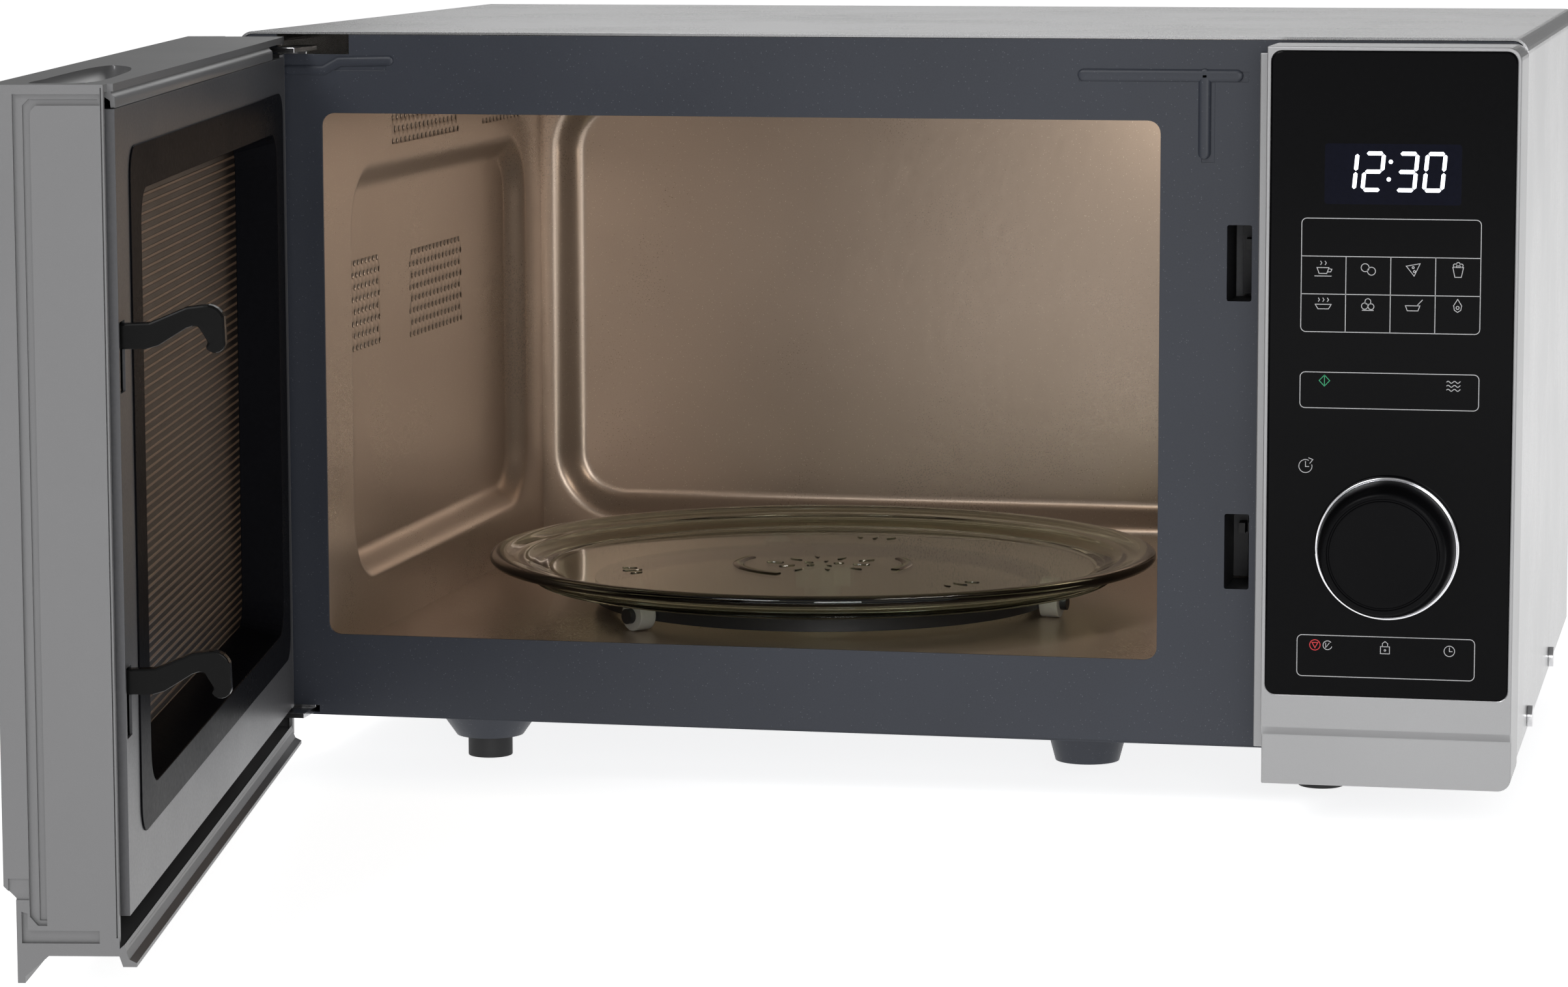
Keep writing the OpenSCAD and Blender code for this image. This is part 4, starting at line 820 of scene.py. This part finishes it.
def panel_print():
    frames = [key_box(GRID_Y, 3 * ROW_H), key_box(START_Y, START_H), key_box(STOP_Y, STOP_H)]
    frames += [line((KEY_X, -GRID_Y - ROW_H * k), (KEY_X + KEY_W, -GRID_Y - ROW_H * k)) for k in (1, 2)]
    for k in (1, 2, 3):
        x = KEY_X + KEY_W / 4 * k
        frames.append(line((x, -GRID_Y - ROW_H), (x, -GRID_Y - 3 * ROW_H)))
    print_piece("print_frames", frames, LINE_W, PRINT)
    icons = []
    rows = ((FIRST_ROW, ("cup", "roots", "slice", "tub")), (SECOND_ROW, ("bowl", "greens", "pan", "drop")))
    for row, names in rows:
        for u, name in zip(KEY_COLS, names):
            icons += icon(name, u, row)
    icons += icon("waves", 69.7, 125.1) + icon("timer", 14.4, 156.8)
    icons += icon("saver", 23.6, 225.3) + icon("lock", 45.4, 226.2) + icon("clock", 69.7, 226.2)
    print_piece("print_icons", icons, ICON_W, PRINT)
    print_piece("print_start", icon("start", 21.2, 124.1), ICON_W, GREEN)
    print_piece("print_stop", icon("stop", 18.8, 225.3), STOP_W, RED)


panel_print()

DIGIT_H, DIGIT_W, DIGIT_T = 13.7, 6.7, 1.5
DIGIT_Y = 51.8              # the digits' foot below the window's top edge
SLANT = 0.09
# Each stroke of a digit from one end to the other, in widths across and half heights up
SEGMENTS = {"a": ((0, 2), (1, 2)), "b": ((1, 2), (1, 1)), "c": ((1, 1), (1, 0)), "d": ((0, 0), (1, 0)),
            "e": ((0, 0), (0, 1)), "f": ((0, 1), (0, 2)), "g": ((0, 1), (1, 1))}
GLYPHS = {"1": "bc", "2": "abged", "3": "abgcd", "0": "abcdef"}


def display():
    field = round_rect(20.4, 71.6, -57.3, -34.5, 1.2, 4)
    verts, faces = slab(on_window, [(field, -0.05), (field, 0.03)])
    piece("display_field", verts, faces, "chassis", SHADE)
    verts, faces = [], []

    def plate(outline):
        corners, sides = slab(on_window, [(outline, 0.0), (outline, 0.09)])
        faces.extend(tuple(i + len(verts) for i in side) for side in sides)
        verts.extend(corners)

    def segment(u, ends):
        p, q = (Vector((x * DIGIT_W, y * DIGIT_H / 2)) for x, y in ends)
        along = (q - p).normalized()
        side = Vector((-along.y, along.x)) * DIGIT_T / 2
        tip, shoulder = along * 0.25, along * (DIGIT_T / 2 + 0.15)
        pts = [p + tip, p + shoulder + side, q - shoulder + side, q - tip, q - shoulder - side,
               p + shoulder - side]
        plate([(u + c.x + SLANT * c.y, c.y - DIGIT_Y) for c in pts])

    for mark, u in (("1", 24.7), ("2", 34.6), ("3", 47.2), ("0", 57.6)):
        for s in GLYPHS[mark]:
            segment(u, SEGMENTS[s])
    for u, v in ((45.1, 41.2), (44.4, 47.8)):
        plate(circle(u, -v, 0.8, n=16)[0])
    piece("display_digits", verts, faces, "chassis", LIT)


display()


# ---------------------------------------------------------------- door cover
def solid(name, outline, place, h0, h1):
    """A closed block between two heights over an outline, to cut with."""
    verts, faces = slab(place, [(outline, h0), (outline, h1)])
    mesh = bpy.data.meshes.new(name)
    mesh.from_pydata([tuple(v) for v in verts], [], faces)
    bm = bmesh.new()
    bm.from_mesh(mesh)
    bmesh.ops.recalc_face_normals(bm, faces=bm.faces)
    bm.to_mesh(mesh)
    bm.free()
    obj = bpy.data.objects.new(name, mesh)
    bpy.context.scene.collection.objects.link(obj)
    return obj


def carved(name, node, cutters, body, slot, width):
    """A piece that stands for a CAD node, with hollows cut into the node's own shape."""
    mesh = frame["nodes"][node].data.copy()
    bm = bmesh.new()
    bm.from_mesh(mesh)
    bmesh.ops.remove_doubles(bm, verts=bm.verts, dist=5e-6)
    bmesh.ops.dissolve_limit(bm, angle_limit=math.radians(0.6), verts=bm.verts, edges=bm.edges)
    bm.to_mesh(mesh)
    bm.free()
    obj = bpy.data.objects.new(name, mesh)
    bpy.context.scene.collection.objects.link(obj)
    for c in cutters:
        cut = obj.modifiers.new("cut", "BOOLEAN")
        cut.operation = "DIFFERENCE"
        cut.solver = "EXACT"
        cut.object = c
    bpy.context.view_layer.update()
    result = bpy.data.meshes.new_from_object(obj.evaluated_get(bpy.context.evaluated_depsgraph_get()))
    obj.modifiers.clear()
    obj.data = result
    for c in cutters:
        bpy.data.objects.remove(c)
    result.materials.clear()
    result.materials.append(FINISH[slot])
    result.polygons.foreach_set("material_index", [0] * len(result.polygons))
    edge = obj.modifiers.new("edge", "BEVEL")
    edge.width = width / 1000
    edge.segments = 2
    edge.limit_method = "ANGLE"
    edge.angle_limit = math.radians(32)
    even = obj.modifiers.new("even", "WEIGHTED_NORMAL")
    even.keep_sharp = True
    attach(obj, body)
    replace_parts(obj, node)
    return obj


def end_at(p, q, h):
    """A place on the door's free end, h mm out from it."""
    return door_point(DOOR_END + h, p, q)


def top_at(p, q, h):
    """A place on the door's top edge, h mm above it."""
    return door_point(p, q, DOOR_TOP + h)


# The finger scoop's outline on the door's top edge, in X and Y of the closed door
SCOOP = [(150.0, -28.6), (120, -29.4), (80, -29.6), (45, -29.2), (24, -27.6), (16, -25.0), (20, -21.0),
         (34, -15.6), (60, -11.6), (95, -9.6), (122, -9.0), (136, -9.4), (141, -12.0)]


def scoop_outline(n=5):
    """The scoop's closed outline, smoothed with n steps from each point to the next."""
    pts = [Vector(p) for p in SCOOP]
    out = []
    m = len(pts)
    for i in range(m):
        a, b, c, d = pts[i - 1], pts[i], pts[(i + 1) % m], pts[(i + 2) % m]
        out += [curve_point(a, b, c, d, k / n) for k in range(n)]
    return out


def door_grooves(rows):
    """The door cover with its end grooves and the finger scoop's mouth cut in."""
    cuts = [
        solid("cut_channel", [(-32.6, 33), (-30, 30), (-27.0, 30), (-27.0, 293.4), (-25.2, 295.4),
                              (-4.6, 295.4), (-4.6, 299.0), (-32.6, 299.0)], end_at, -1.5, 1),
        solid("cut_groove", [(-29.6, 31.5), (-27.0, 31.5), (-27.0, 293.4), (-25.2, 295.4), (-5.6, 295.4),
                             (-5.6, 297.4), (-27.6, 297.4), (-29.6, 295.4)], end_at, -2.2, 1),
        solid("cut_foot", [(-39.4, 38.5), (-32.7, 38.5), (-32.7, 45.5), (-39.4, 45.5)], end_at, -0.8, 1),
        solid("cut_base", [(-35.3, 24.2), (-10.0, 24.2), (-10.0, 28.4), (-33.4, 28.4), (-33.4, 34.0),
                           (-35.3, 34.6)], end_at, -1.4, 1),
        solid("cut_line", [(-4.45, 26), (-4.05, 26), (-4.05, 301), (-4.45, 301)], end_at, -1.2, 1),
        solid("cut_scoop", [(p.x, p.y) for p in rows], top_at, -6.1, 2),
    ]
    carved("door_cover_skin", "door_cover", cuts, "door", "door_silver", 0.45)


def finger_scoop(rows):
    """The scoop's bowl, narrowing as it goes down."""
    middle = sum(rows, Vector((0, 0))) / len(rows)
    verts, faces = [], []
    steps = 9
    for i in range(steps + 1):
        t = math.radians(90 * i / steps)
        h = -0.25 - 5.6 * math.sin(t)
        along = 1 - 0.35 * (1 - math.cos(t))
        across = 1 - 0.62 * (1 - math.cos(t))
        for p in rows:
            verts.append(top_at(middle.x + (p.x - middle.x) * along, middle.y + (p.y - middle.y) * across, h))
    n = len(rows)
    for i in range(steps):
        for j in range(n):
            a, b = i * n + j, i * n + (j + 1) % n
            faces.append((a, b, b + n, a + n))
    faces.append(tuple(range(steps * n, (steps + 1) * n)))
    bowl = piece("finger_scoop", verts, faces, "door", FINISH["door_silver"], sharp=60,
                 closed=False)
    face_away(bowl, (0, 0, -1))


def top_rim():
    """The rolled rim along the inner top edge, its section in Y and Z of the closed door."""
    section = [(-7.0, 301.0), (-3.6, 301.3), (-2.7, 300.9), (-2.3, 300.0), (-2.2, 298.9), (-1.7, 298.3),
               (-1.1, 297.9), (-0.9, 297.2), (-0.9, 294.6), (-1.3, 294.1), (-2.4, 294.0), (-2.6, 296.4),
               (-7.0, 299.4)]
    xs = (-212, -211.4, 151.6, 152.2)
    verts, faces = [], []
    m = len(section)
    mid = (sum(q[0] for q in section) / m, sum(q[1] for q in section) / m)
    for x, k in zip(xs, (0.9, 1, 1, 0.9)):
        verts += [door_point(x, mid[0] + (y - mid[0]) * k, mid[1] + (z - mid[1]) * k) for y, z in section]
    for i in range(3):
        for j in range(m):
            a, b = i * m + j, i * m + (j + 1) % m
            faces.append((a, b, b + m, a + m))
    faces += [tuple(range(m - 1, -1, -1)), tuple(range(3 * m, 4 * m))]
    piece("door_top_rim", verts, faces, "door", FINISH["door_silver"], sharp=45)


SCOOP_ROWS = scoop_outline()
door_grooves(SCOOP_ROWS)
finger_scoop(SCOOP_ROWS)
top_rim()


def latch_spring():
    """The spring under the latch lever, a copy of its CAD node riding on the door; the copy keeps its length when
    the hooks go down.
    """
    obj = bpy.data.objects.new("latch_spring_coil", frame["nodes"]["latch_spring"].data.copy())
    bpy.context.scene.collection.objects.link(obj)
    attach(obj, "door")
    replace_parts(obj, "latch_spring")
    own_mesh(obj)


latch_spring()


# ---------------------------------------------------------------- room
def room():
    mesh = bpy.data.meshes.new("floor")
    mesh.from_pydata([(-40, -40, 0), (40, -40, 0), (40, 40, 0), (-40, 40, 0)], [], [(0, 1, 2, 3)])
    floor = bpy.data.objects.new("floor", mesh)
    mesh.materials.append(surface("floor_pale", (0.90, 0.90, 0.90), 0.7, 0.0, 0.005, 0.02, 60, 0.0,
                                  glow=((1, 1, 1), 0.82)))
    bpy.context.scene.collection.objects.link(floor)
    world = bpy.data.worlds.new("studio")
    bpy.context.scene.world = world
    world.use_nodes = True
    world.node_tree.nodes["Background"].inputs[0].default_value = (1, 1, 1, 1)
    world.node_tree.nodes["Background"].inputs[1].default_value = 0.27
    bpy.context.scene.view_settings.view_transform = "Standard"

    def area(name, place, target, size, power, colour=(1, 1, 1)):
        data = bpy.data.lights.new(name, "AREA")
        data.shape = "RECTANGLE"
        data.size, data.size_y = size
        data.energy = power
        data.color = colour
        lamp = bpy.data.objects.new(name, data)
        lamp.location = place
        lamp.rotation_euler = (Vector(target) - Vector(place)).to_track_quat("-Z", "Y").to_euler()
        lamp.visible_camera = False
        bpy.context.scene.collection.objects.link(lamp)

    area("key", (-0.9, -2.4, 2.0), (0, 0.1, 0.15), (1.2, 1.2), 32)
    area("front", (0.9, -3.0, 0.7), (-0.05, 0.2, 0.18), (0.9, 0.9), 19)
    area("back", (-0.45, 3.6, 1.5), (0.0, 0.2, 0.3), (1.7, 1.0), 8)
    area("cavity", point(70, 60, 262), point(-120, 240, 120), (0.10, 0.05), 0.16, (1.0, 0.93, 0.84))


room()
